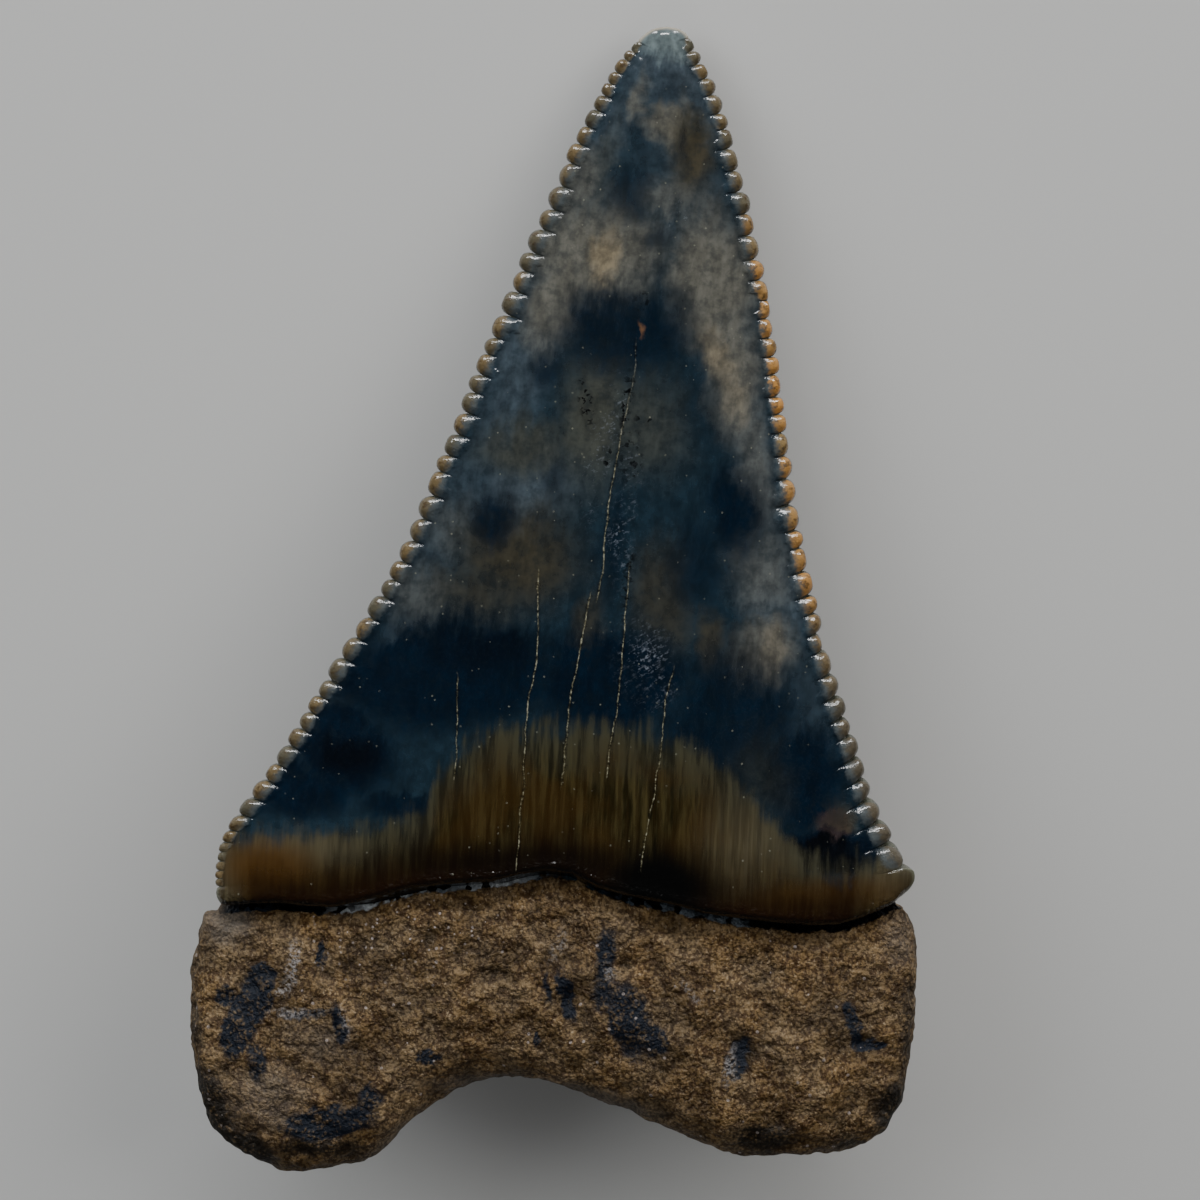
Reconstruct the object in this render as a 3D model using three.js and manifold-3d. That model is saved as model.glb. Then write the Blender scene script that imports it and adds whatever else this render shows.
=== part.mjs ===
// A fossil great white shark tooth, lying on its inner face with its flat outer face up.
//
// The tooth grew as one piece, so it is one solid: a serrated blade of enamel, the crown, whose
// lower border overhangs a thick root with two lobes. It is drawn in its own axes, in millimetres:
// X across the blade, Y from the root's lobes to the tip, and Z out of the outer face. Then it is
// laid on the two places where such a tooth touches a table, which are worn flat: one on the
// bulge of the root's inner face, and a smaller one on the crown's inner face near the tip.

import * as THREE from 'three';
import { LoftGeometry } from 'three/addons/geometries/LoftGeometry.js';
import { mergeVertices } from 'three/addons/utils/BufferGeometryUtils.js';
import Module from 'manifold-3d';

// Driving dimensions, in millimetres.
const TIP = [5.3, 54];           // the tip leans to the right; 54 is the whole height
const EDGE_LEVEL = -0.7;         // Z of the cutting edge, which lies behind the outer face
const EDGE_THICKNESS = 0.62;     // of the cutting edge, between two serrations
const SERRATION_PITCH = 1.02;    // along the cutting edge
const SERRATION_PROUD = 0.46;    // how far a serration stands out of the cutting edge
const SERRATION_REACH = 1.5;     // its size across the edge, most of which is sunk in the blade
const SERRATION_THICKNESS = 0.9;
const CROWN_SWELL = 7.0;         // how far the crown's inner face swells out at its base
const CROWN_SWELL_TIP = 1.3;     // and near the tip
const OUTER_DOME = 1.2;          // the much flatter swell of the outer face
const LIP_PROUD = 0.3;           // how far the enamel swells just above its lower border
const LIP_STEP = 0.5;            // from the enamel's lower border down to the root
const LOBE_THICKNESS = 8.2;      // of the root at its lobes
const BULGE_HEIGHT = 3.4;        // how much thicker the root is at its inner bulge
const BULGE_Y = 11;              // where along the tooth that bulge is
const ROOT_WEAR = 0.4;           // depth worn off the bulge where it rests
const TIP_WEAR = 0.08;           // depth worn off the inner face where the tip rests

// How finely the solid is faceted.
const CROWN_ROWS = 26;
const FACE_COLUMNS = 12;
const ROOT_SECTIONS = 32;
const ROOT_RING = 26;
const BEAD_SIDES = 6;
const OUTLINE_STEPS = 600;

// The cutting edges, through the outer ends of the serrations, from the crown's corners to the tip.
const leftEdge = spline([
  [-15.75, 12.9], [-15.85, 14.4], [-15.5, 16.1], [-14.2, 18.2], [-12.65, 20.4], [-10.1, 24.7],
  [-7.3, 29.4], [-4.8, 35.4], [-2.4, 41.2], [0.3, 47.5], [2.3, 51.3], [3.6, 53.3], TIP,
]);
const rightEdge = spline([
  [16.2, 13.1], [16.9, 14.2], [16.3, 15.5], [15.4, 17.2], [14.3, 20.3], [12.9, 24.9],
  [11.8, 29.6], [11.1, 34.4], [10.2, 40.8], [9.3, 45.5], [8.0, 50.2], [6.9, 52.9], TIP,
]);

// The enamel's lower border. It arches a little on the outer face, and on the inner face it
// rises to a blunt chevron, where the root climbs up the crown.
const outerBorder = spline([
  [-15.75, 12.9], [-13.1, 13.0], [-9.8, 12.9], [-6.3, 13.8], [-2.8, 14.1], [0.3, 14.6],
  [2.8, 13.6], [6.3, 12.8], [9.8, 12.2], [13.0, 12.0], [15.0, 12.5], [16.2, 13.1],
]);
const innerBorder = spline([
  [-15.75, 12.9], [-12.5, 13.7], [-8.5, 15.4], [-4.0, 18.0], [0.3, 19.2],
  [4.4, 18.0], [8.8, 15.2], [12.8, 13.5], [16.2, 13.1],
]);

// The root's outline. Its upper side lies inside the crown.
const rootOutline = spline([
  [-15.9, 13.6], [-16.7, 12.2], [-17.2, 9.4], [-17.15, 6.0], [-16.7, 3.4], [-15.8, 1.8],
  [-14.2, 0.5], [-11.9, 0], [-9.6, 0.4], [-8.0, 1.3], [-6.5, 2.9], [-4.9, 3.8], [-2.8, 4.3],
  [-0.6, 4.3], [1.2, 3.9], [3.3, 2.9], [5.2, 2.0], [7.6, 1.1], [10.0, 0.8], [13.1, 0.9],
  [15.0, 1.5], [16.3, 2.9], [16.95, 5.2], [17.2, 8.2], [17.1, 11.0], [16.5, 12.9], [15.7, 13.7],
  [12.5, 14.8], [8.5, 16.7], [4.4, 19.2], [0.3, 20.6], [-4.0, 19.2], [-8.5, 16.9],
  [-12.5, 15.0], [-15.9, 13.6],
]);

// Pits in the root's outer face, as x, y, width and height.
const PITS = [
  [-5.8, 11.2, 0.8, 1.0], [3.4, 10.1, 0.7, 0.8], [-12.6, 8.6, 1.2, 1.8], [14.4, 6.4, 1.4, 0.9],
  [8.9, 6.2, 1.0, 1.5], [1.0, 5.2, 0.7, 0.6],
];
// The mouth of the canal that fed the tooth, on the inner bulge above the flat it rests on.
const CANAL = { x: 0.6, y: 15.6, width: 1.5, height: 2.2, depth: 1.4 };

function spline(points) {
  return new THREE.SplineCurve(points.map(([x, y]) => new THREE.Vector2(x, y)));
}

function mix(a, b, share) {
  return a + (b - a) * share;
}

function rise(value, from, to) {
  return THREE.MathUtils.smoothstep(value, from, to);
}

// A signed power, which squares or sharpens a rounded section.
function bend(value, power) {
  return Math.sign(value) * Math.abs(value) ** power;
}

// The place `inset` inside a cutting edge, at the share t of its length. inward is 1 on the left
// edge and -1 on the right one.
function insideEdge(edge, inward, t, inset) {
  const point = edge.getPointAt(t);
  const along = edge.getTangentAt(t);
  return new THREE.Vector2(point.x + inward * inset * along.y, point.y - inward * inset * along.x);
}

// The crown.
// The bare blade ends inside the serrations' outer ends, except at the smooth tip and corners.
function bladeEdge(edge, inward, t) {
  return insideEdge(edge, inward, t, SERRATION_PROUD * rise(t, 0, 0.06) * (1 - rise(t, 0.93, 1)));
}

// A point on one face of the blade: across runs from -1 at the left edge to 1 at the right one,
// and t from 0 at the enamel's lower border to 1 at the tip.
function crownPoint(across, t, border, depth) {
  const left = bladeEdge(leftEdge, 1, t);
  const right = bladeEdge(rightEdge, -1, t);
  const share = (across + 1) / 2;
  const corners = mix(leftEdge.getPoint(0).y, rightEdge.getPoint(0).y, share);
  const arch = (border.getPointAt(share).y - corners) * (1 - t) ** 3;
  return new THREE.Vector3(
    mix(left.x, right.x, share),
    mix(left.y, right.y, share) + arch,
    EDGE_LEVEL + depth(across, t),
  );
}

function outerDepth(across, t) {
  const dome = mix(OUTER_DOME, 0.3 * OUTER_DOME, t) * (1 - Math.abs(across) ** 2.4);
  const lip = LIP_PROUD * rise(t, 0, 0.02) * (1 - rise(t, 0.05, 0.3)) * (1 - across ** 6);
  return (EDGE_THICKNESS / 2 + dome + lip) * (1 - rise(t, 0.94, 1));
}

function innerDepth(across, t) {
  const swell = mix(CROWN_SWELL, CROWN_SWELL_TIP, t ** 0.85);
  const section = (1 - Math.abs(across) ** 2.1) ** 0.85;
  return -(EDGE_THICKNESS / 2 + swell * section) * (1 - rise(t, 0.94, 1));
}

// A closed ring round the blade, over the outer face and back over the inner one.
function crownRing(t, shrink) {
  const ring = [];
  for (let i = 0; i <= FACE_COLUMNS; i++) {
    ring.push(crownPoint(-Math.cos((Math.PI * i) / FACE_COLUMNS), t, outerBorder, outerDepth));
  }
  for (let i = 0; i <= FACE_COLUMNS; i++) {
    ring.push(crownPoint(Math.cos((Math.PI * i) / FACE_COLUMNS), t, innerBorder, innerDepth));
  }
  const core = new THREE.Vector3(0.3, 13.5, EDGE_LEVEL - 3);
  ring.forEach((point) => point.lerp(core, shrink));
  return ring;
}

function makeCrown() {
  const tip = new THREE.Vector3(TIP[0], TIP[1], EDGE_LEVEL);
  const rings = [crownRing(0, 1), crownRing(0, 0.15), crownRing(0, 0.02)];
  for (let row = 0; row < CROWN_ROWS; row++) {
    rings.push(crownRing(mix(0.012, 0.99, row / (CROWN_ROWS - 1)), 0));
  }
  rings.push(crownRing(1, 0).map(() => tip.clone()));
  return new LoftGeometry(rings);
}

// The serrations: beads half sunk in the cutting edge, leaning towards the tip, a little uneven,
// and smaller where they run out at the tip and at the corners.
function makeSerrations() {
  const edges = [
    { edge: leftEdge, inward: 1, first: 0.06 },
    { edge: rightEdge, inward: -1, first: 0.09 },
  ];
  const beads = [];
  for (const { edge, inward, first } of edges) {
    const length = edge.getLength();
    let t = first;
    for (let n = 0; t < 0.957; n++) {
      const taper = mix(0.6, 1, rise(t, first, 0.24)) * mix(1, 0.62, rise(t, 0.8, 0.97));
      const size = taper * (1 + 0.12 * Math.sin(2.4 * n + inward) + 0.07 * Math.sin(5.1 * n));
      const place = insideEdge(edge, inward, t, 0.48 * SERRATION_REACH * size);
      const bead = new THREE.SphereGeometry(0.5, BEAD_SIDES, 5);
      bead.rotateZ(Math.PI / 2);
      bead.scale(SERRATION_REACH * size, 1.1 * SERRATION_PITCH * size, SERRATION_THICKNESS * size);
      bead.rotateZ(edge.getTangentAt(t).angle() - Math.PI / 2 - 0.2 * inward);
      bead.translate(place.x, place.y, EDGE_LEVEL);
      beads.push(bead);
      t += (SERRATION_PITCH * size) / length;
    }
  }
  return beads;
}

// The root.
// Its outer face follows the crown's swell, one lip lower.
function rootFace(x) {
  const dome = OUTER_DOME * (1 - Math.min(1, Math.abs(x) / 17) ** 2.4);
  return EDGE_LEVEL + EDGE_THICKNESS / 2 + dome - LIP_STEP;
}

// Its inner face: thick lobes, and a bulge in the middle that thins towards the crown.
function rootBack(x, y) {
  const bulge = BULGE_HEIGHT * Math.exp(-((x / 10) ** 2) - ((y - BULGE_Y) / 6.5) ** 2);
  const thinner = 0.22 * rise(Math.abs(x), 9, 17) + 0.2 * rise(y, 12, 20);
  return EDGE_LEVEL - LOBE_THICKNESS * (1 - thinner) - bulge;
}

// A section of the root across one place. It is squarest at the top of the outer face, which
// runs straight under the enamel, and roundest on the inner face.
function rootRing(x, low, high) {
  const ring = [];
  const closing = Math.min(1, (high - low) / 10) ** 0.5;
  for (let i = 0; i < ROOT_RING; i++) {
    const turn = (2 * Math.PI * i) / ROOT_RING;
    const [up, out] = [Math.cos(turn), Math.sin(turn)];
    const y = mix(low, high, 0.5 + 0.5 * bend(up, up > 0 ? 0.55 : 0.8));
    const widest = mix(rootFace(x), rootBack(x, y), 0.4);
    const face = out > 0 ? rootFace(x) : rootBack(x, y);
    const outerRound = up > 0 ? 0.25 : 0.5;
    const round = out > 0 ? outerRound : 0.8;
    const z = widest + (face - widest) * Math.abs(out) ** round * closing;
    ring.push(new THREE.Vector3(x, y, z));
  }
  return ring;
}

// The lowest and the highest place of the root's outline at one place across it.
function rootSpan(outline, x) {
  const crossings = [];
  for (let i = 1; i < outline.length; i++) {
    const [a, b] = [outline[i - 1], outline[i]];
    if ((a.x - x) * (b.x - x) <= 0 && a.x !== b.x) {
      crossings.push(mix(a.y, b.y, (x - a.x) / (b.x - a.x)));
    }
  }
  return [Math.min(...crossings), Math.max(...crossings)];
}

function makeRoot() {
  const outline = rootOutline.getSpacedPoints(OUTLINE_STEPS);
  const left = Math.min(...outline.map((point) => point.x));
  const right = Math.max(...outline.map((point) => point.x));
  const rings = [];
  for (let i = 0; i <= ROOT_SECTIONS; i++) {
    const turn = Math.PI * mix(0.012, 0.988, i / ROOT_SECTIONS);
    const x = mix(left, right, 0.5 - 0.5 * Math.cos(turn));
    rings.push(rootRing(x, ...rootSpan(outline, x)));
  }
  return new LoftGeometry([endPoint(rings[0], left), ...rings, endPoint(rings.at(-1), right)]);
}

// A ring shrunk to one point, which closes a loft.
function endPoint(ring, x) {
  const middle = new THREE.Vector3();
  ring.forEach((point) => middle.addScaledVector(point, 1 / ring.length));
  return ring.map(() => new THREE.Vector3(x, middle.y, middle.z));
}

function makePits() {
  const pits = PITS.map(([x, y, width, height]) => {
    const pit = new THREE.SphereGeometry(0.5, 8, 6);
    pit.scale(width, height, 0.9);
    return pit.translate(x, y, rootFace(x));
  });
  const canal = new THREE.SphereGeometry(0.5, 10, 6);
  canal.scale(CANAL.width, CANAL.height, 2 * CANAL.depth);
  canal.translate(CANAL.x, CANAL.y, rootBack(CANAL.x, CANAL.y));
  return [...pits, canal];
}

// Solids.
const wasm = await Module();
wasm.setup();

function toSolid(geometry) {
  const bare = new THREE.BufferGeometry();
  bare.setAttribute('position', geometry.getAttribute('position'));
  bare.setIndex(geometry.index);
  const merged = mergeVertices(bare);
  const corners = merged.index.array;
  const kept = [];
  for (let i = 0; i < corners.length; i += 3) {
    const [a, b, c] = corners.slice(i, i + 3);
    if (a !== b && b !== c && c !== a) {
      kept.push(a, b, c);
    }
  }
  return new wasm.Manifold(new wasm.Mesh({
    numProp: 3,
    vertProperties: new Float32Array(merged.attributes.position.array),
    triVerts: new Uint32Array(kept),
  }));
}

function toGeometry(solid) {
  const mesh = solid.getMesh();
  const geometry = new THREE.BufferGeometry();
  geometry.setAttribute('position', new THREE.BufferAttribute(mesh.vertProperties, 3));
  geometry.setIndex(new THREE.BufferAttribute(mesh.triVerts, 1));
  return geometry;
}

// Laying it down.
// How low the tooth reaches between two places along it, once it is tilted tip down.
function lowest(geometry, from, to, tilt) {
  const position = geometry.getAttribute('position');
  let low = Infinity;
  for (let i = 0; i < position.count; i++) {
    const [y, z] = [position.getY(i), position.getZ(i)];
    if (y >= from && y <= to) {
      low = Math.min(low, z * Math.cos(tilt) - y * Math.sin(tilt));
    }
  }
  return low;
}

// Tilts the tooth until its root and its tip both touch, and cuts both worn flats at that level.
function restingPlane(geometry) {
  let tilt = 0.24;
  let level = 0;
  for (let step = 0; step < 12; step++) {
    level = lowest(geometry, 0, 25, tilt) + ROOT_WEAR;
    const tip = lowest(geometry, 45, 54, tilt) + TIP_WEAR;
    tilt += (tip - level) / 40;
  }
  return { tilt, level };
}

let tooth = toSolid(makeCrown()).add(toSolid(makeRoot()));
for (const bead of makeSerrations()) {
  tooth = tooth.add(toSolid(bead));
}
for (const pit of makePits()) {
  tooth = tooth.subtract(toSolid(pit));
}
const { tilt, level } = restingPlane(toGeometry(tooth));
const table = new THREE.BoxGeometry(100, 100, 20);
table.translate(0, 25, level - 10);
table.rotateX(tilt);
tooth = tooth.subtract(toSolid(table));

const mesh = new THREE.Mesh(
  toGeometry(tooth),
  new THREE.MeshStandardMaterial({ color: 0x2b2f30, roughness: 0.35, metalness: 0 }),
);
mesh.name = 'tooth';
mesh.rotation.x = -tilt;

// The origin is under the middle of the tooth, on the surface that it rests on.
const group = new THREE.Group();
group.add(mesh);
group.updateMatrixWorld(true);
const box = new THREE.Box3().setFromObject(group, true);
group.position.set(-(box.min.x + box.max.x) / 2, -(box.min.y + box.max.y) / 2, -level);

export default group;
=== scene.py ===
# %% [markdown]
# # A fossil great white shark tooth
# The tooth is one piece: a glossy blade of enamel with beaded edges on a rough two-lobed root.
# It lies on its inner face, so its flat outer face looks up at the camera. Each cell below makes
# one thing, and prints what it made.

# %% Load the frame
import math
import random

import bpy
import numpy as np
from mathutils import Euler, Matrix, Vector, noise


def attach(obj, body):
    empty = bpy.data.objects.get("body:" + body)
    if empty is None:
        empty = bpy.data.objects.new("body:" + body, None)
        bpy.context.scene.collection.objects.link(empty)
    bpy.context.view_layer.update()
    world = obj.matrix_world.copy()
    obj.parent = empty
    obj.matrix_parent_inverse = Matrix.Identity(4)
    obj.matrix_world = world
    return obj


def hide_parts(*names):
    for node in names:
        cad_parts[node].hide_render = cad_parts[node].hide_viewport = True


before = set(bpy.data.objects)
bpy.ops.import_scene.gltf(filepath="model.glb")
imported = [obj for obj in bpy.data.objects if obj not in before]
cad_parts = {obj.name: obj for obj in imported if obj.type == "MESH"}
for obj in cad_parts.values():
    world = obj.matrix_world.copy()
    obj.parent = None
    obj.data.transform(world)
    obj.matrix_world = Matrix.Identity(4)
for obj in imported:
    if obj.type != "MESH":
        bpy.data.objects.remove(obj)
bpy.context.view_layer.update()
MM = 0.001

# %% [markdown]
# ## Driving sizes
# The tooth is drawn in its own axes, in millimetres: x across the blade, y from the root's lobes
# to the tip, z out of the outer face. Drawing it flat keeps every outline readable. One function
# at the end tips it over onto the table and turns millimetres into metres.

# %% Driving sizes, in millimetres
TIP = (5.3, 54.0)
EDGE_LEVEL = -0.7
EDGE_THICKNESS = 0.62
SERRATION_PITCH = 1.02
SERRATION_PROUD = 0.46
SERRATION_THICKNESS = 0.92
CROWN_SWELL = 7.0
CROWN_SWELL_TIP = 1.3
OUTER_DOME = 1.2
LIP_PROUD = 0.3
LIP_STEP = 0.5
LOBE_THICKNESS = 8.2
BULGE_HEIGHT = 3.4
BULGE_Y = 11.0
TILT = math.radians(12.868)
REST_LIFT = 13.975
MIDDLE = (-0.014, 25.77)

# %% Outlines, seen on the outer face
LEFT_EDGE = [
    (-15.75, 12.9), (-15.85, 14.4), (-15.5, 16.1), (-14.2, 18.2), (-12.65, 20.4), (-10.1, 24.7),
    (-7.3, 29.4), (-4.8, 35.4), (-2.4, 41.2), (0.3, 47.5), (2.3, 51.3), (3.3, 52.75), (4.15, 53.55),
    (4.7, 53.9), TIP,
]
RIGHT_EDGE = [
    (16.2, 13.1), (16.9, 14.2), (16.3, 15.5), (15.4, 17.2), (14.3, 20.3), (12.9, 24.9),
    (11.8, 29.6), (11.1, 34.4), (10.2, 40.8), (9.3, 45.5), (8.0, 50.2), (7.1, 52.3), (6.45, 53.4),
    (5.95, 53.85), TIP,
]
OUTER_BORDER = [
    (-15.75, 12.9), (-13.1, 13.0), (-9.8, 12.9), (-6.3, 13.8), (-2.8, 14.1), (0.3, 14.6),
    (2.8, 13.6), (6.3, 12.8), (9.8, 12.2), (13.0, 12.0), (15.0, 12.5), (16.2, 13.1),
]
INNER_BORDER = [
    (-15.75, 12.9), (-12.5, 13.7), (-8.5, 15.4), (-4.0, 18.0), (0.3, 19.2),
    (4.4, 18.0), (8.8, 15.2), (12.8, 13.5), (16.2, 13.1),
]
ROOT_OUTLINE = [
    (-15.4, 13.2), (-16.6, 12.1), (-17.2, 9.4), (-17.15, 6.0), (-16.7, 3.4), (-15.8, 1.8),
    (-14.2, 0.5), (-11.9, 0.0), (-9.6, 0.4), (-8.0, 1.3), (-6.5, 2.9), (-4.9, 3.8), (-2.8, 4.3),
    (-0.6, 4.3), (1.2, 3.9), (3.3, 2.9), (5.2, 2.0), (7.6, 1.1), (10.0, 0.8), (13.1, 0.9),
    (15.0, 1.5), (16.3, 2.9), (16.95, 5.2), (17.2, 8.2), (17.1, 11.0), (16.5, 12.9), (15.7, 13.7),
    (12.5, 14.8), (8.5, 16.7), (4.4, 19.2), (0.3, 20.6), (-4.0, 19.2), (-8.5, 16.9),
    (-12.5, 15.0), (-15.4, 13.2),
]

# %% [markdown]
# ## Small helpers
# A few measured points and a smooth curve through them describe an outline better than a long
# list. The curve here is a Catmull-Rom spline: it passes through every point, and it is sampled
# once and then read by the share of its length.

# %% Small helpers
def mix(a, b, share):
    return a + (b - a) * share


def rise(value, start, end):
    share = np.clip((np.asarray(value, dtype=float) - start) / (end - start), 0.0, 1.0)
    return share * share * (3.0 - 2.0 * share)


def bend(value, power):
    return np.sign(value) * np.abs(value) ** power


def bulge(share):
    """A quarter circle: 0 at 0, 1 at 1, and steepest at 0."""
    return np.sqrt(1 - (1 - np.clip(share, 0.0, 1.0)) ** 2)


def ragged(x, length, seed):
    """A smooth random line along x, from -1 to 1, with bends about a length apart."""
    values = [noise.noise(Vector((value / length, seed, 0.0))) for value in np.ravel(x)]
    return np.reshape(values, np.shape(x))


# %% A smooth curve
class Curve:
    """A smooth curve through given points, read by the share t of its length."""

    def __init__(self, points, steps=80):
        corners = np.array([points[0], *points, points[-1]], dtype=float)
        share = np.linspace(0.0, 1.0, steps, endpoint=False)[:, None]
        pieces = []
        for before, start, end, after in zip(corners, corners[1:], corners[2:], corners[3:]):
            leave = (end - before) / 2
            arrive = (after - start) / 2
            cubic = 2 * start - 2 * end + leave + arrive
            square = 3 * end - 3 * start - 2 * leave - arrive
            pieces.append(((cubic * share + square) * share + leave) * share + start)
        self.samples = np.vstack([*pieces, corners[-1:]])
        gaps = np.linalg.norm(np.diff(self.samples, axis=0), axis=1)
        travelled = np.concatenate([[0.0], np.cumsum(gaps)])
        self.length = travelled[-1]
        self.shares = travelled / self.length

    def at(self, t):
        x = np.interp(t, self.shares, self.samples[:, 0])
        y = np.interp(t, self.shares, self.samples[:, 1])
        return np.stack([x, y], axis=-1)

    def direction(self, t, step=0.002):
        ahead = self.at(np.minimum(np.asarray(t) + step, 1.0))
        behind = self.at(np.maximum(np.asarray(t) - step, 0.0))
        gap = ahead - behind
        return gap / np.linalg.norm(gap, axis=-1, keepdims=True)

    def height_at(self, x):
        order = np.argsort(self.samples[:, 0])
        return np.interp(x, self.samples[order, 0], self.samples[order, 1])


left_edge = Curve(LEFT_EDGE)
right_edge = Curve(RIGHT_EDGE)
outer_border = Curve(OUTER_BORDER)
inner_border = Curve(INNER_BORDER)
root_outline = Curve(ROOT_OUTLINE)
print("cutting edges in mm:", round(left_edge.length, 1), round(right_edge.length, 1))

# %% [markdown]
# ## The serrations
# The cutting edge of this tooth is a row of round enamel beads, each about a millimetre long.
# They could be separate balls, but real ones swell out of the blade with no seam. So a bead is a
# height above the blade's middle plane, worked out from the distance along the edge and the
# depth inside it, and the blade's own skin is drawn over it later. No two beads are alike: a
# seeded random draw sets how long each is, how far it stands out and how deep its notches are.

# %% Lay out the beads along both edges
BEAD_FADE, FADE_FROM, FADE_TO = 0.62, 0.8, 0.95
LENGTH_SPREAD = (0.8, 1.2)
NOTCH_DEPTH, NOTCH_SPREAD, LAST_NOTCH = 1.12, (0.82, 1.2), 0.35
PROUD_SPREAD, RUN_SPREAD, BLUNT_SPREAD = (0.0, 0.11), (0.4, 0.62), (0.85, 1.6)


class Beads:
    """All the beads of one edge, in order from the crown's lower corner to the tip."""

    def __init__(self, edge, first, full_from, small, last, seed):
        draw = random.Random(seed)
        ends = [first * edge.length]
        while ends[-1] < last * edge.length:
            t = ends[-1] / edge.length
            fade = mix(1.0, BEAD_FADE, rise(t, FADE_FROM, FADE_TO))
            taper = mix(small, 1.0, rise(t, first, full_from)) * fade
            ends.append(ends[-1] + SERRATION_PITCH * taper * draw.uniform(*LENGTH_SPREAD))
        self.ends = np.array(ends)
        self.half = np.diff(self.ends) / 2
        self.middle = self.ends[:-1] + self.half
        self.size = 2 * self.half / SERRATION_PITCH
        near_size = np.interp(self.ends, self.middle, self.size)
        depth = NOTCH_DEPTH * SERRATION_PROUD
        self.notch = np.array([depth * s * draw.uniform(*NOTCH_SPREAD) for s in near_size])
        self.proud = np.array([s * draw.uniform(*PROUD_SPREAD) for s in self.size])
        self.run = np.array([s * draw.uniform(*RUN_SPREAD) for s in self.size])
        self.tint = np.array([draw.uniform(0.0, 1.0) for _ in self.size])
        self.blunt = np.array([draw.uniform(*BLUNT_SPREAD) for _ in self.size])
        self.notch[-1] *= LAST_NOTCH

    def nearest(self, y, edge):
        """The number of the bead beside one height on the tooth."""
        along = edge.shares[np.argmin(np.abs(edge.samples[:, 1] - y))] * edge.length
        return int(np.argmin(np.abs(self.middle - along)))


# %% Draw the beads of both edges
BEADS_END = 0.962
DOUBLE_BEAD_Y, DOUBLE_NOTCH = 41.6, 0.3
BROKEN_BEAD_Y, BROKEN_OFF = 24.9, 0.22
LONG_BEADS_Y, LONG_NOTCH, LONG_RUN = 20.5, 1.15, 1.9
left_beads = Beads(left_edge, first=0.018, full_from=0.125, small=0.42, last=BEADS_END, seed=4)
right_beads = Beads(right_edge, first=0.045, full_from=0.09, small=1.35, last=BEADS_END, seed=11)
double = right_beads.nearest(DOUBLE_BEAD_Y, right_edge)
broken = right_beads.nearest(BROKEN_BEAD_Y, right_edge)
long_beads = right_beads.nearest(LONG_BEADS_Y, right_edge)
right_beads.notch[double] *= DOUBLE_NOTCH
right_beads.proud[broken] += BROKEN_OFF
right_beads.notch[:long_beads] *= LONG_NOTCH
right_beads.run[:long_beads] *= LONG_RUN
print("beads:", len(left_beads.size), "left,", len(right_beads.size), "right")


# %% The height of the beads
def bead_height(beads, along, inside):
    """Half the thickness of the beads at places along the edge and inside it, and their tints."""
    pick = np.clip(np.searchsorted(beads.ends, along) - 1, 0, len(beads.half) - 1)
    sideways = (along - beads.middle[pick]) / beads.half[pick]
    notch = np.where(sideways < 0, beads.notch[pick], beads.notch[pick + 1])
    proud = beads.proud[pick]
    sunk = np.clip((inside - proud) / np.maximum(notch - proud, 0.02), 0.0, 1.0)
    outward = 1 - sunk ** (1 / beads.blunt[pick])
    size = beads.size[pick]
    fade = 1 - rise((inside - notch) / size, 0.05, 0.2 + beads.run[pick] / size)
    full = np.sqrt(np.clip(1 - sideways ** 2 - outward ** 2, 0.0, 1.0)) * fade
    beaded = (along > beads.ends[0]) & (along < beads.ends[-1])
    full *= beaded
    # The crease mask marks the notches between beads, where the finish paints shade.
    crease = (1 - rise(full, 0.05, 0.5)) * (1 - rise((inside - notch) / size, 0.2, 0.7)) * beaded
    return 0.5 * SERRATION_THICKNESS * size ** 0.7 * full, full, beads.tint[pick], crease


# %% [markdown]
# ## The crown
# The blade is a grid of rows from the enamel's lower border to the tip. Each row is a closed ring:
# over the outer face and back over the inner one. An even grid would need a million points to
# draw round beads. Instead every bead gets a few rows of its own, which start on its round
# outline and straighten out inside it, as a modeller's edge loops do. Small beads need fewer rows
# than large ones, and the middle of the face needs few columns.

# %% Where the rows of one edge start
QUALITY = 1.0
BEAD_ROWS = 12
FEWEST_BEAD_ROWS = 5
LIP_ROWS = 9
LOW_ROWS = 5
CAP_TURN_ROWS = 6
CAP_ROWS = 24
LIP_SHARE = 0.0095
CORNER_ROUND, CORNER_RUN, SHOULDER_RUN = 0.3, 0.6, 0.4
CAP_TURN = 0.32
LAST_SHARE = 0.9985


def rows_of(beads):
    """How many rows each bead gets: the small ones need fewer."""
    return np.clip(np.round(BEAD_ROWS * beads.size), FEWEST_BEAD_ROWS, BEAD_ROWS).astype(int)


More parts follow.
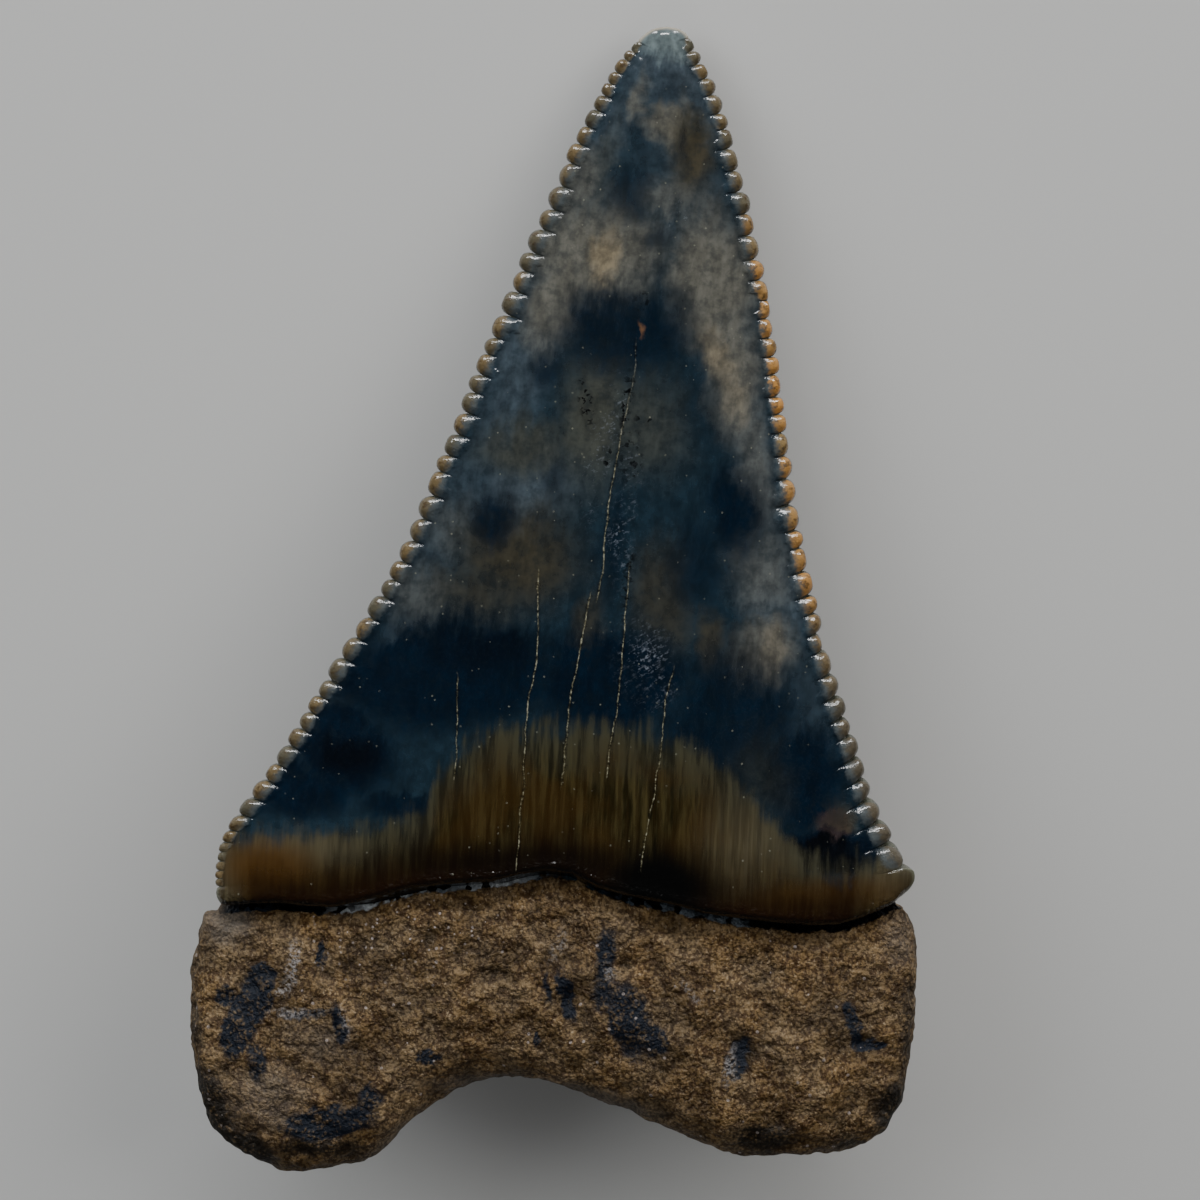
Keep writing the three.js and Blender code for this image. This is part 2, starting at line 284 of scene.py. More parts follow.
class Rows:
    """Every row's start on one edge: its outline point, the place it runs to, and the blade's edge."""

    def __init__(self, edge, beads, low_rows):
        lip_end = LIP_SHARE * edge.length
        first, last = beads.ends[0], beads.ends[-1]
        lip = np.linspace(0.0, lip_end, LIP_ROWS, endpoint=False)
        low = np.linspace(lip_end, first, low_rows, endpoint=False)
        plain = np.concatenate([lip, low])
        corner = CORNER_ROUND * (1 - bulge(plain / CORNER_RUN))
        shoulder = beads.notch[0] * (1 - bulge((first - plain) / SHOULDER_RUN))
        along, start, base, blade = [plain], [corner + shoulder], [plain], [corner + shoulder]
        for number, half in enumerate(beads.half):
            turn = np.linspace(-0.5, 0.5, rows_of(beads)[number], endpoint=False) * math.pi
            side = np.where(turn < 0, beads.notch[number], beads.notch[number + 1])
            proud = beads.proud[number]
            along.append(beads.middle[number] + half * np.sin(turn))
            start.append(proud + (side - proud) * (1 - np.cos(turn)) ** beads.blunt[number])
            base.append(beads.middle[number] + half * turn / (math.pi / 2))
            blade.append(mix(beads.notch[number], beads.notch[number + 1], turn / math.pi + 0.5))
        turn = np.linspace(-0.5, 0.0, CAP_TURN_ROWS, endpoint=False) * math.pi
        cap_turn = last + CAP_TURN * (1 + np.sin(turn))
        cap = np.linspace(last + CAP_TURN, LAST_SHARE * edge.length, CAP_ROWS)
        shoulder = beads.notch[-1] * (1 - np.cos(turn))
        for rows in (along, base):
            rows += [cap_turn, cap]
        for rows in (start, blade):
            rows += [shoulder, np.zeros(CAP_ROWS)]
        self.along, self.start = np.concatenate(along), np.concatenate(start)
        self.base, self.blade = np.concatenate(base), np.concatenate(blade)
        self.t = self.base / edge.length


more = rows_of(left_beads).sum() - rows_of(right_beads).sum()
left_rows = Rows(left_edge, left_beads, LOW_ROWS + max(0, -more))
right_rows = Rows(right_edge, right_beads, LOW_ROWS + max(0, more))
print("rows:", len(left_rows.t), len(right_rows.t))

# %% [markdown]
# ## The plan of one face
# A row runs straight in from each edge through a narrow strip of close columns, which hold the
# beads, and then across the middle in wide steps. Near the lower corners and round the tip the
# rows turn to run from side to side, because straight-in rows would crowd or cross there.

# %% Lay out the plan of one face
BAND_OUTER, BAND_INNER = 13, 8
MIDDLE_OUTER, MIDDLE_INNER = 25, 12
BAND_DEPTH, BAND_SHARE, BAND_AT_CORNER = 1.75, 0.36, 0.3
BAND_CROWDING = 1.9
SWELL_INSET = 0.5


class Side:
    """One cutting edge, seen from its rows."""

    def __init__(self, edge, beads, rows, inward):
        self.edge, self.beads, self.rows, self.inward = edge, beads, rows, inward
        direction = edge.direction(rows.t)
        self.inside = inward * np.stack([direction[:, 1], -direction[:, 0]], axis=-1)
        self.foot = edge.at(rows.t)

    def turn_across(self, across):
        """Turns the rows near both ends of the edge, where straight-in ones would crowd or cross."""
        t = self.rows.t
        turn = np.maximum(1 - rise(t, 0.04, 0.17), rise(t, 0.955, 0.985))[:, None]
        self.inside = mix(self.inside, self.inward * across, turn)
        self.inside /= np.linalg.norm(self.inside, axis=1, keepdims=True)

    def strip(self, reach, columns):
        """The points of the strip inside the edge, with their places along and inside it."""
        spread = np.linspace(0.0, 1.0, columns + 1)[None, :] ** BAND_CROWDING
        start = self.rows.start[:, None]
        depth = start + (np.maximum(reach, self.rows.start * 1.2)[:, None] - start) * spread
        along = mix(self.rows.along[:, None], self.rows.base[:, None], spread)
        place = self.edge.at(along / self.edge.length) + self.inside[:, None, :] * depth[..., None]
        return place, along, depth


left_side = Side(left_edge, left_beads, left_rows, 1)
right_side = Side(right_edge, right_beads, right_rows, -1)
chord = right_side.foot - left_side.foot
width = np.linalg.norm(chord, axis=1)
left_side.turn_across(chord / width[:, None])
right_side.turn_across(chord / width[:, None])


def along_chord(place):
    """How far across the blade a place is, from 0 at the left edge to 1 at the right one."""
    start = left_side.foot[:, None, :]
    return ((place - start) * chord[:, None, :]).sum(axis=2) / (width ** 2)[:, None]


# %% The plan of one face
INSET_FULL_AT = 0.12
WANDERS = [(0.17, 1.3, 3.0), (0.08, 0.4, 8.0)]  # how far, bends how long, seed
RAGGED_ROWS, RAGGED_FADE = 0.03, 0.022


def face_plan(columns, middle, border):
    depth = BAND_DEPTH * mix(BAND_AT_CORNER, 1.0, rise(left_rows.t, 0.0, 0.07))
    reach = np.minimum(depth, BAND_SHARE * width)
    left, along_left, depth_left = left_side.strip(reach, columns)
    right, along_right, depth_right = right_side.strip(reach, columns)
    steps = np.linspace(0.0, 1.0, middle + 1)[1:-1][None, :, None]
    inner = left[:, -1:, :] + (right[:, -1:, :] - left[:, -1:, :]) * steps
    place = np.concatenate([left, inner, right[:, ::-1]], axis=1)
    share = along_chord(place)
    inset_left = SWELL_INSET * rise(left_rows.t, 0.0, INSET_FULL_AT)[:, None]
    inset_right = SWELL_INSET * rise(right_rows.t, 0.0, INSET_FULL_AT)[:, None]
    blade_left = left_side.foot + left_side.inside * inset_left
    blade_right = right_side.foot + right_side.inside * inset_right
    low, high = along_chord(blade_left[:, None, :]), along_chord(blade_right[:, None, :])
    across = np.clip(2 * (share - low) / (high - low) - 1, -1.0, 1.0)
    t = mix(left_rows.t[:, None], right_rows.t[:, None], np.clip(share, 0.0, 1.0))
    strips = (along_left, depth_left, along_right[:, ::-1], depth_right[:, ::-1])
    true_depth = edge_distance(place)
    corners = mix(LEFT_EDGE[0][1], RIGHT_EDGE[0][1], share)
    arch = border.at(np.clip(share, 0.0, 1.0))[..., 1] - corners
    place[..., 1] += arch * (1 - t) ** 3 + border_ragged(place[..., 0], t)
    return place, across, t, true_depth, strips


def border_ragged(x, t):
    """The enamel's lower border isn't a clean line: it wanders, and small chips are missing."""
    moved = np.zeros_like(x)
    rows = t[:, 0] < RAGGED_ROWS
    wander = sum(far * ragged(x[rows], length, seed) for far, length, seed in WANDERS)
    moved[rows] = wander * (1 - rise(t[rows], 0.0, RAGGED_FADE)) * np.clip(8 * t[rows] + 0.6, 0, 1)
    return moved


def edge_distance(place):
    """How far every point of the plan is from the nearer edge line."""
    lines = [side.edge.samples[::2] for side in (left_side, right_side)]
    start = np.vstack([line[:-1] for line in lines])
    step = np.vstack([line[1:] - line[:-1] for line in lines])
    square = (step ** 2).sum(axis=1)
    found = np.empty(place.shape[:2])
    for row, points in enumerate(place):
        offset = points[:, None, :] - start[None]
        share = np.clip((offset * step).sum(axis=2) / square, 0.0, 1.0)
        gap = offset - step * share[..., None]
        found[row] = np.sqrt((gap ** 2).sum(axis=2).min(axis=1))
    return found


# %% [markdown]
# ## The heights of one face
# The outer face is almost flat, with a low dome and a lip where the enamel ends. The inner face
# swells far more. The bead heights and the blade's own height meet in a soft maximum, so the
# beads grow out of the blade with a crease between them and no hard line.

# %% Raise one face
EDGE_FALL = 0.6
CAP_FALL = 0.4
CROWN_FOOT = 13.0
THIN_FROM = 0.94
SWELL_FALL, SWELL_POWER, SWELL_ROUND = 0.85, 2.1, 0.85
DOME_POWER, DOME_AT_TIP, LIP_POWER = 2.4, 0.3, 6
KNOB = (16.0, 14.35, 1.1, 0.98, 0.5)


def soft_max(a, b, power=3.0):
    return (a ** power + b ** power) ** (1 / power)


def swell_of(across, t, y, outer):
    flat = np.abs(across)
    thin = 1 - rise(t, THIN_FROM, 1.0)
    if not outer:
        swell = mix(CROWN_SWELL, CROWN_SWELL_TIP, t ** SWELL_FALL)
        return swell * (1 - flat ** SWELL_POWER) ** SWELL_ROUND * thin
    up = np.clip((y - CROWN_FOOT) / (TIP[1] - CROWN_FOOT), 0.0, 1.0)
    dome = mix(OUTER_DOME, DOME_AT_TIP * OUTER_DOME, up) * (1 - flat ** DOME_POWER)
    lip = LIP_PROUD * (1 - rise(up, 0.06, 0.4)) * (1 - across ** LIP_POWER)
    return (dome + lip) * thin


def knob_height(place):
    """The smooth round knob where the right cutting edge meets the root."""
    x, y, wide, tall, high = KNOB
    reach = ((place[..., 0] - x) / wide) ** 2 + ((place[..., 1] - y) / tall) ** 2
    return high * np.sqrt(np.clip(1 - reach, 0.0, 1.0))


# %% Put the heights together
def raise_face(outer):
    columns, middle = (BAND_OUTER, MIDDLE_OUTER) if outer else (BAND_INNER, MIDDLE_INNER)
    border = outer_border if outer else inner_border
    place, across, t, true_depth, strips = face_plan(columns, middle, border)
    along_left, depth_left, along_right, depth_right = strips
    inside = true_depth.copy()
    cap = left_rows.along > left_beads.ends[-1]
    for part, depth in ((np.s_[:, :columns + 1], depth_left), (np.s_[:, -columns - 1:], depth_right)):
        inside[part] = np.where(cap[:, None], inside[part], depth)
    half = place.shape[1] // 2
    blade_line = np.empty_like(inside)
    blade_line[:, :half], blade_line[:, half:] = left_rows.blade[:, None], right_rows.blade[:, None]
    fall = np.where(cap, CAP_FALL, EDGE_FALL)[:, None]
    edge = 0.5 * EDGE_THICKNESS * bulge((inside - blade_line) / fall)
    height = edge + swell_of(across, t, place[..., 1], outer) * rise(inside - blade_line, 0.0, 0.5)
    height = soft_max(height, knob_height(place))
    bead, top, tint, crease = (np.zeros_like(height) for _ in range(4))
    for part, beads, along, depth in (
        (np.s_[:, :columns + 1], left_beads, along_left, depth_left),
        (np.s_[:, -columns - 1:], right_beads, along_right, depth_right),
    ):
        bead[part], top[part], tint[part], crease[part] = bead_height(beads, along, depth)
    height = soft_max(bead, height)
    height[:, [0, -1]] = 0.0
    if outer:
        height -= LIP_STEP * (1 - bulge(t / LIP_SHARE)) * (1 - np.abs(across) ** 8)
    level = EDGE_LEVEL + (height if outer else -height)
    points = np.concatenate([place, level[..., None]], axis=2)
    above = place[..., 1] - border.height_at(place[..., 0])
    # The rim mask marks the thin outer edge, where the finish paints a highlight.
    rim = 1 - rise(inside - blade_line, 0.03, 0.22)
    masks = {"edge_depth": true_depth, "bead_top": top, "bead_tint": tint, "above_border": above}
    masks.update(crease=crease, rim=rim)
    return points, masks


def crown_grid():
    outer, outer_masks = raise_face(True)
    inner, inner_masks = raise_face(False)
    ring = np.concatenate([outer, inner[:, -2:0:-1]], axis=1)
    masks = {
        name: np.concatenate([outer_masks[name], inner_masks[name][:, -2:0:-1]], axis=1)
        for name in outer_masks
    }
    return ring, masks


crown_rings, crown_masks = crown_grid()
print("crown rings:", crown_rings.shape)

# %% [markdown]
# ## From rings to a skin
# Both halves of the tooth are stacks of closed rings, so one helper joins neighbouring rings with
# four-sided faces and closes each end on a single point. Points in the same order on every ring
# are what makes this simple.

# %% Join rings into one closed skin
def skin(rings, first_point, last_point):
    """Vertices and faces of a closed stack of rings."""
    rows, columns = rings.shape[:2]
    vertices = np.vstack([rings.reshape(-1, 3), first_point, last_point])
    index = np.arange(rows * columns).reshape(rows, columns)
    ahead = np.roll(index, -1, axis=1)
    quads = np.stack([index[:-1], ahead[:-1], ahead[1:], index[1:]], axis=-1).reshape(-1, 4)
    start, end = rows * columns, rows * columns + 1
    first_fan = [(start, ahead[0, i], index[0, i]) for i in range(columns)]
    last_fan = [(end, index[-1, i], ahead[-1, i]) for i in range(columns)]
    faces = quads.tolist() + first_fan + last_fan
    return vertices, faces


def lay_down(points):
    """Tips the tooth onto its inner face, and turns millimetres into the frame's metres."""
    x, y, z = np.asarray(points, dtype=float).T
    along = y * math.cos(TILT) + z * math.sin(TILT)
    up = np.maximum(z * math.cos(TILT) - y * math.sin(TILT) + REST_LIFT, 0.0)
    return np.stack([x - MIDDLE[0], along - MIDDLE[1], up], axis=1) * MM


# %% [markdown]
# ## The root
# The root is a stack of closed sections from its left side to its right one. Every section is
# fitted between the lower and the upper side of the traced outline. It is squarest where it
# passes under the enamel and roundest at the back. The lumps and pits of fossil bone are
# then pushed into the skin along its own normals, because real bone is rough in outline too.

# %% Shape the root
ROOT_SECTIONS = int(236 * QUALITY)
ROOT_RING = int(176 * QUALITY)
ROOT_HALF_WIDTH = 17.0
BULGE_WIDTH, BULGE_LENGTH = 10, 6.5
SIDES_THINNER, TOP_THINNER = 0.22, 0.2


def root_face(x):
    dome = OUTER_DOME * (1 - np.minimum(1.0, np.abs(x) / ROOT_HALF_WIDTH) ** DOME_POWER)
    return EDGE_LEVEL + EDGE_THICKNESS / 2 + dome - LIP_STEP


def root_back(x, y):
    bulge_here = BULGE_HEIGHT * np.exp(-((x / BULGE_WIDTH) ** 2) - ((y - BULGE_Y) / BULGE_LENGTH) ** 2)
    thinner = SIDES_THINNER * rise(np.abs(x), 9, ROOT_HALF_WIDTH) + TOP_THINNER * rise(y, 12, 20)
    return EDGE_LEVEL - LOBE_THICKNESS * (1 - thinner) - bulge_here


def root_span(x):
    """The lowest and highest place of the outline at one place across it."""
    a, b = root_outline.samples[:-1], root_outline.samples[1:]
    cuts = ((a[:, 0] - x) * (b[:, 0] - x) <= 0) & (a[:, 0] != b[:, 0])
    a, b = a[cuts], b[cuts]
    heights = mix(a[:, 1], b[:, 1], (x - a[:, 0]) / (b[:, 0] - a[:, 0]))
    return heights.min(), heights.max()


# %% Sections of the root
FINE_STEPS = 720
TOP_SQUARE, FOOT_SQUARE = 0.55, 0.8
TOP_ROUND, FOOT_ROUND, BACK_ROUND = 0.25, 0.5, 0.8
WIDEST_DEPTH = 0.4
ENDS_CLOSE_BELOW = 10
OUTER_CROWDING = 2.2


def root_ring(x):
    low, high = root_span(x)
    turn = np.linspace(0.0, 2 * math.pi, FINE_STEPS, endpoint=False)
    up, out = np.cos(turn), np.sin(turn)
    y = mix(low, high, 0.5 + 0.5 * np.where(up > 0, bend(up, TOP_SQUARE), bend(up, FOOT_SQUARE)))
    back = root_back(x, y)
    widest = mix(root_face(x), back, WIDEST_DEPTH)
    face = np.where(out > 0, root_face(x), back)
    round_off = np.where(out > 0, np.where(up > 0, TOP_ROUND, FOOT_ROUND), BACK_ROUND)
    closing = math.sqrt(min(1.0, (high - low) / ENDS_CLOSE_BELOW))
    z = widest + (face - widest) * np.abs(out) ** round_off * closing
    section = np.stack([np.full_like(y, x), y, z], axis=1)
    return space_out(section, np.where(out > 0, OUTER_CROWDING, 1.0))


def space_out(section, weight):
    """Spreads points evenly round a section, closer together where the weight is larger."""
    ahead = np.roll(section, -1, axis=0)
    steps = np.linalg.norm(ahead - section, axis=1) * weight
    travelled = np.concatenate([[0.0], np.cumsum(steps)])
    closed = np.vstack([section, section[:1]])
    wanted = np.linspace(0.0, travelled[-1], ROOT_RING, endpoint=False)
    return np.stack([np.interp(wanted, travelled, closed[:, axis]) for axis in range(3)], axis=1)


def root_grid():
    left = root_outline.samples[:, 0].min()
    right = root_outline.samples[:, 0].max()
    turn = np.linspace(0.02, math.pi - 0.02, ROOT_SECTIONS)
    places = mix(left, right, 0.5 - 0.46 * np.cos(turn) - 0.04 * np.cos(turn) ** 3)
    return np.stack([root_ring(x) for x in places]), left, right


root_rings, root_left, root_right = root_grid()
print("root rings:", root_rings.shape)

# %% [markdown]
# ## The relief of the root
# Fossil bone is lumpy at several sizes at once, from low swells and worn knobs to a coarse grain.
# Noise at four sizes is added up and pushed into the skin. The pits, the mouth of the canal that
# fed the tooth and the groove under the enamel's lip are given one by one. RELIEF lists lengths
# and heights. A pit is its middle, its half width, its half height and its depth.

# %% Carve the root
RELIEF = [(3.4, 0.24), (1.3, 0.19), (0.55, 0.1), (0.33, 0.06)]
PITS = [
    (-5.8, 11.2, 0.4, 0.55, 0.45), (3.4, 10.1, 0.3, 0.4, 0.35), (-12.6, 8.6, 0.6, 0.9, 0.3),
    (14.4, 6.4, 0.7, 0.45, 0.4), (8.9, 6.2, 0.5, 0.75, 0.3), (1.0, 5.2, 0.3, 0.3, 0.35),
    (-10.8, 10.7, 0.22, 0.6, 0.25), (-10.2, 7.2, 0.35, 0.8, 0.3), (0.6, 8.6, 0.3, 1.0, 0.25),
]
CANAL = (0.6, 15.6, 0.75, 1.1, 1.4)
GROOVE_DEPTH, GROOVE_WIDTH, GROOVE_BELOW = 0.34, 0.3, 0.12
OUTER_ABOVE, INNER_BELOW = -4.0, -6.0
SKIN_DOWN = 0.12


def grid_normals(rings):
    across = np.roll(rings, -1, axis=1) - np.roll(rings, 1, axis=1)
    onward = np.gradient(rings, axis=0)
    normal = np.cross(across, onward)
    normal /= np.maximum(np.linalg.norm(normal, axis=2, keepdims=True), 1e-9)
    outward = rings - rings.mean(axis=1, keepdims=True)
    return normal * np.sign((normal * outward).sum())


def dent(points, place, outer):
    x, y, half_width, half_height, depth = place
    reach = ((points[..., 0] - x) / half_width) ** 2 + ((points[..., 1] - y) / half_height) ** 2
    facing = points[..., 2] > OUTER_ABOVE if outer else points[..., 2] < INNER_BELOW
    return depth * np.exp(-reach) * facing


def carve_root(rings):
    lumps = np.zeros(rings.shape[:2])
    flat = rings.reshape(-1, 3)
    for length, height in RELIEF:
        values = [noise.noise(Vector(point) / length) for point in flat]
        lumps += height * np.reshape(values, lumps.shape)
    pits = sum(dent(rings, pit, True) for pit in PITS) + dent(rings, CANAL, False)
    outer = rings[..., 2] > OUTER_ABOVE
    line = np.where(outer, outer_border.height_at(rings[..., 0]), inner_border.height_at(rings[..., 0]))
    below = line - rings[..., 1]
    groove = GROOVE_DEPTH * np.exp(-((below - GROOVE_BELOW) / GROOVE_WIDTH) ** 2)
    moved = rings + grid_normals(rings) * (lumps - pits - groove - SKIN_DOWN)[..., None]
    return moved, {"lumps": lumps - pits, "above_border": -below}


root_rings, root_masks = carve_root(root_rings)
print("root relief in mm:", root_masks["lumps"].min().round(2), "to", root_masks["lumps"].max().round(2))

# %% [markdown]
# ## Growing crown and root together
# The real tooth has no gap between enamel and root, so both skins are joined by a Boolean union
# into one closed mesh. Values that the finish needs travel along as point attributes: the
# distance from the cutting edge and above the border, where beads are, the creases that get
# painted shade, the rim that gets a painted highlight, and the height of the bone's lumps. The
# union makes new points where the skins cross, and those get the mean of their neighbours' values.

# %% Make both halves
MASKS = ["edge_depth", "bead_top", "bead_tint", "crease", "rim", "above_border", "lumps", "known"]


def make_object(name, vertices, faces, material, masks):
    mesh = bpy.data.meshes.new(name)
    mesh.from_pydata(vertices.tolist(), [], faces)
    mesh.materials.append(material)
    mesh.shade_smooth()
    for mask in MASKS:
        values = masks.get(mask, np.zeros(len(vertices)))
        mesh.attributes.new(mask, "FLOAT", "POINT").data.foreach_set("value", values.astype(np.float32))
    made = bpy.data.objects.new(name, mesh)
    bpy.context.scene.collection.objects.link(made)
    return made


def with_ends(values, first, last):
    return np.concatenate([values.ravel(), [first, last]])


enamel = bpy.data.materials.new("enamel")
bone = bpy.data.materials.new("bone")

CORE = np.array([0.3, 13.5, EDGE_LEVEL - 3.0])
HIDDEN_SHARE, TUCKED_SHARE = 0.15, 0.02
ROOT_EDGE_DEPTH = 9.0
hidden = mix(crown_rings[0], CORE, HIDDEN_SHARE)
tucked = mix(crown_rings[0], CORE, TUCKED_SHARE)
stack = np.concatenate([hidden[None], tucked[None], crown_rings])
tip_point = np.array([TIP[0], TIP[1], EDGE_LEVEL])
crown_vertices, crown_faces = skin(stack, CORE, tip_point)
masks = {
    name: with_ends(np.concatenate([values[:1], values[:1], values]), 0.0, 0.0)
    for name, values in crown_masks.items()
}
masks["known"] = np.ones(len(crown_vertices))
crown = make_object("crown", lay_down(crown_vertices), crown_faces, enamel, masks)

first = root_rings[0].mean(axis=0) * [0, 1, 1] + [root_left, 0, 0]
last = root_rings[-1].mean(axis=0) * [0, 1, 1] + [root_right, 0, 0]
root_vertices, root_faces = skin(root_rings, first, last)
masks = {name: with_ends(values, 0.0, 0.0) for name, values in root_masks.items()}
masks["edge_depth"] = np.full(len(root_vertices), ROOT_EDGE_DEPTH)
masks["known"] = np.ones(len(root_vertices))
root = make_object("root_half", lay_down(root_vertices), root_faces, bone, masks)
print("crown faces", len(crown_faces), "root faces", len(root_faces))


# %% Grow them together
def grow_together(body, part):
    """Joins two closed skins into one mesh."""
    join = body.modifiers.new("join", "BOOLEAN")
    join.operation = "UNION"
    join.solver = "MANIFOLD"
    join.material_mode = "TRANSFER"
    join.object = part
    shape = bpy.context.evaluated_depsgraph_get()
    mesh = bpy.data.meshes.new_from_object(body.evaluated_get(shape), depsgraph=shape)
    body.modifiers.clear()
    body.data = mesh
    bpy.data.objects.remove(part)
    return body


# %% Values for the points that the union makes
def read(mesh, mask):
    values = np.empty(len(mesh.vertices), dtype=np.float32)
    mesh.attributes[mask].data.foreach_get("value", values)
    return values


def fill_masks(mesh):
    """Gives the points that the union made the mean values of their known neighbours."""
    ends = np.empty(2 * len(mesh.edges), dtype=np.int32)
    mesh.edges.foreach_get("vertices", ends)
    a, b = ends.reshape(-1, 2).T
    known = read(mesh, "known") > 0.99
    made = int((~known).sum())
    values = {mask: read(mesh, mask) for mask in MASKS}
    while not known.all():
        count = np.bincount(a, known[b], len(known)) + np.bincount(b, known[a], len(known))
        reached = ~known & (count > 0)
        if not reached.any():
            break
        for mask in MASKS:
            total = np.bincount(a, known[b] * values[mask][b], len(known))
            total += np.bincount(b, known[a] * values[mask][a], len(known))
            values[mask][reached] = total[reached] / count[reached]
        known |= reached
    for mask in MASKS:
        mesh.attributes[mask].data.foreach_set("value", values[mask])
    return made


# %% Make the union
tooth = grow_together(crown, root)
tooth.name = "fossil_tooth"
tooth.data.name = "fossil_tooth"
print("points made by the union:", fill_masks(tooth.data))
tooth.data.shade_smooth()
triangles = sum(len(face.vertices) - 2 for face in tooth.data.polygons)
print("tooth triangles:", triangles)
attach(tooth, "root")
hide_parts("tooth")

# %% [markdown]
# ## Building finishes from nodes
# The finishes need many small sums and mixes. One small class adds a node, links or sets its
# inputs and hands back its output, so that each finish below reads like a recipe.

# %% A short way to add nodes
def opaque(colour):
    """A colour with the fourth number that Blender wants: how solid it is."""
    return (*colour, 1.0)


class Recipe:
    """Adds nodes to one node tree, and hands back their outputs."""

    def __init__(self, tree):
        self.tree = tree

    def add(self, kind, values=(), out=0, **settings):
        node = self.tree.nodes.new(kind)
        for name, value in settings.items():
            setattr(node, name, value)
        for key, value in dict(values).items():
            if isinstance(value, bpy.types.NodeSocket):
                self.tree.links.new(value, node.inputs[key])
            else:
                node.inputs[key].default_value = value
        return node.outputs[out]

    def math(self, operation, *values):
        return self.add("ShaderNodeMath", enumerate(values), operation=operation)

    def times(self, a, b, plus=None):
        """The product of two values, with a third one added to it if there is one."""
        if plus is None:
            return self.math("MULTIPLY", a, b)
        return self.math("MULTIPLY_ADD", a, b, plus)

    def vector(self, operation, *values, out=0):
        return self.add("ShaderNodeVectorMath", enumerate(values), operation=operation, out=out)

    def scale(self, vector, size):
        return self.add("ShaderNodeVectorMath", {0: vector, "Scale": size}, operation="SCALE")

    def span(self, value, low, high, start=0.0, end=1.0):
        """Goes smoothly from start to end while the value goes from low to high."""
        settings = {"Value": value, "From Min": low, "From Max": high, "To Min": start, "To Max": end}
        return self.add("ShaderNodeMapRange", settings, interpolation_type="SMOOTHSTEP")

    def blend(self, share, a, b, way="MIX"):
        a, b = (opaque(colour) if isinstance(colour, tuple) else colour for colour in (a, b))
        values = {0: share, 6: a, 7: b}
        return self.add("ShaderNodeMix", values, out=2, data_type="RGBA", blend_type=way)

    def noise(self, place, scale, detail=2.0, rough=0.5, out="Fac"):
        values = {"Vector": place, "Scale": scale, "Detail": detail, "Roughness": rough}
        return self.add("ShaderNodeTexNoise", values, out=out)

    def cells(self, place, scale, out="Distance"):
        return self.add("ShaderNodeTexVoronoi", {"Vector": place, "Scale": scale}, out=out)

    def mask(self, name):
        return self.add("ShaderNodeAttribute", out="Fac", attribute_name=name)

    def group(self, tree, values, out=0):
        return self.add("ShaderNodeGroup", values, out=out, node_tree=tree)

    def stretch(self, place, scale, turn=0.0):
        """Turns the place round z, then scales it, so that noise read there runs in streaks."""
        if turn:
            values = {"Vector": place, "Angle": turn}
            place = self.add("ShaderNodeVectorRotate", values, rotation_type="Z_AXIS")
        return self.vector("MULTIPLY", place, scale)


# %% A short way to start a node group
def new_group(name, inputs, outputs):
    """An empty node group with named inputs and outputs, and its recipe."""
    tree = bpy.data.node_groups.new(name, "ShaderNodeTree")
    for label, kind in inputs:
        tree.interface.new_socket(label, in_out="INPUT", socket_type=kind)
    for label, kind in outputs:
        tree.interface.new_socket(label, in_out="OUTPUT", socket_type=kind)
    entry = tree.nodes.new("NodeGroupInput")
    leave = tree.nodes.new("NodeGroupOutput")
    return tree, Recipe(tree), entry.outputs, leave.inputs


NUMBER, ARROW = "NodeSocketFloat", "NodeSocketVector"

# %% [markdown]
# ## Where on the tooth
# Stains sit at measured places on the tooth, so the finishes need the tooth's own axes in
# millimetres again. This group undoes the tipping: it turns object coordinates back by the tilt
# and scales them up. Object coordinates stay with the tooth wherever it is looked at from.

# %% The tooth's own axes as a node group
def place_group():
    tree, r, _, leave = new_group("tooth axes", [], [("Place", ARROW)])
    coordinates = r.add("ShaderNodeTexCoord", out="Object")
    cos, sin = math.cos(TILT), math.sin(TILT)
    shift = (MIDDLE[0], MIDDLE[1] * cos + REST_LIFT * sin, MIDDLE[1] * sin - REST_LIFT * cos)
    values = {"Vector": coordinates, "Scale": (1 / MM, 1 / MM, 1 / MM)}
    values["Rotation"] = (TILT, 0.0, 0.0)
    values["Location"] = shift
    tree.links.new(r.add("ShaderNodeMapping", values), leave["Place"])
    return tree


tooth_axes = place_group()

# %% [markdown]
# ## A soft patch
# The clouds of stain have no outline that a line could follow. Each is a soft oval with a given
# place, size and turn, and the place it reads is stirred by noise first, so its border frays as
# mineral stain does. The oval is a spherical gradient texture, which falls evenly from 1 at its
# middle to 0 at its rim. Its rim lies at twice the oval's size, so the gradient reads 0.5 on the
# oval itself, and the softness is set around that value.

# %% Soft patches as a node group
def patch_group():
    inputs = [("Place", ARROW), ("Middle", ARROW), ("Size", ARROW), ("Turn", ARROW)]
    inputs += [("Soft", NUMBER), ("Strength", NUMBER)]
    tree, r, entry, leave = new_group("soft patch", inputs, [("Mask", NUMBER)])
    values = {"Vector": entry["Place"], "Location": entry["Middle"], "Scale": entry["Size"]}
    values["Rotation"] = entry["Turn"]
    fitted = r.add("ShaderNodeMapping", values, vector_type="TEXTURE")
    ball = r.add("ShaderNodeTexGradient", {"Vector": fitted}, out="Fac", gradient_type="SPHERICAL")
    half_soft = r.times(entry["Soft"], 0.5)
    far = r.math("SUBTRACT", 0.5, half_soft)
    near = r.math("ADD", 0.5, half_soft)
    tree.links.new(r.span(ball, far, near, 0.0, entry["Strength"]), leave["Mask"])
    return tree


soft_patch = patch_group()
THROUGH = 1000.0


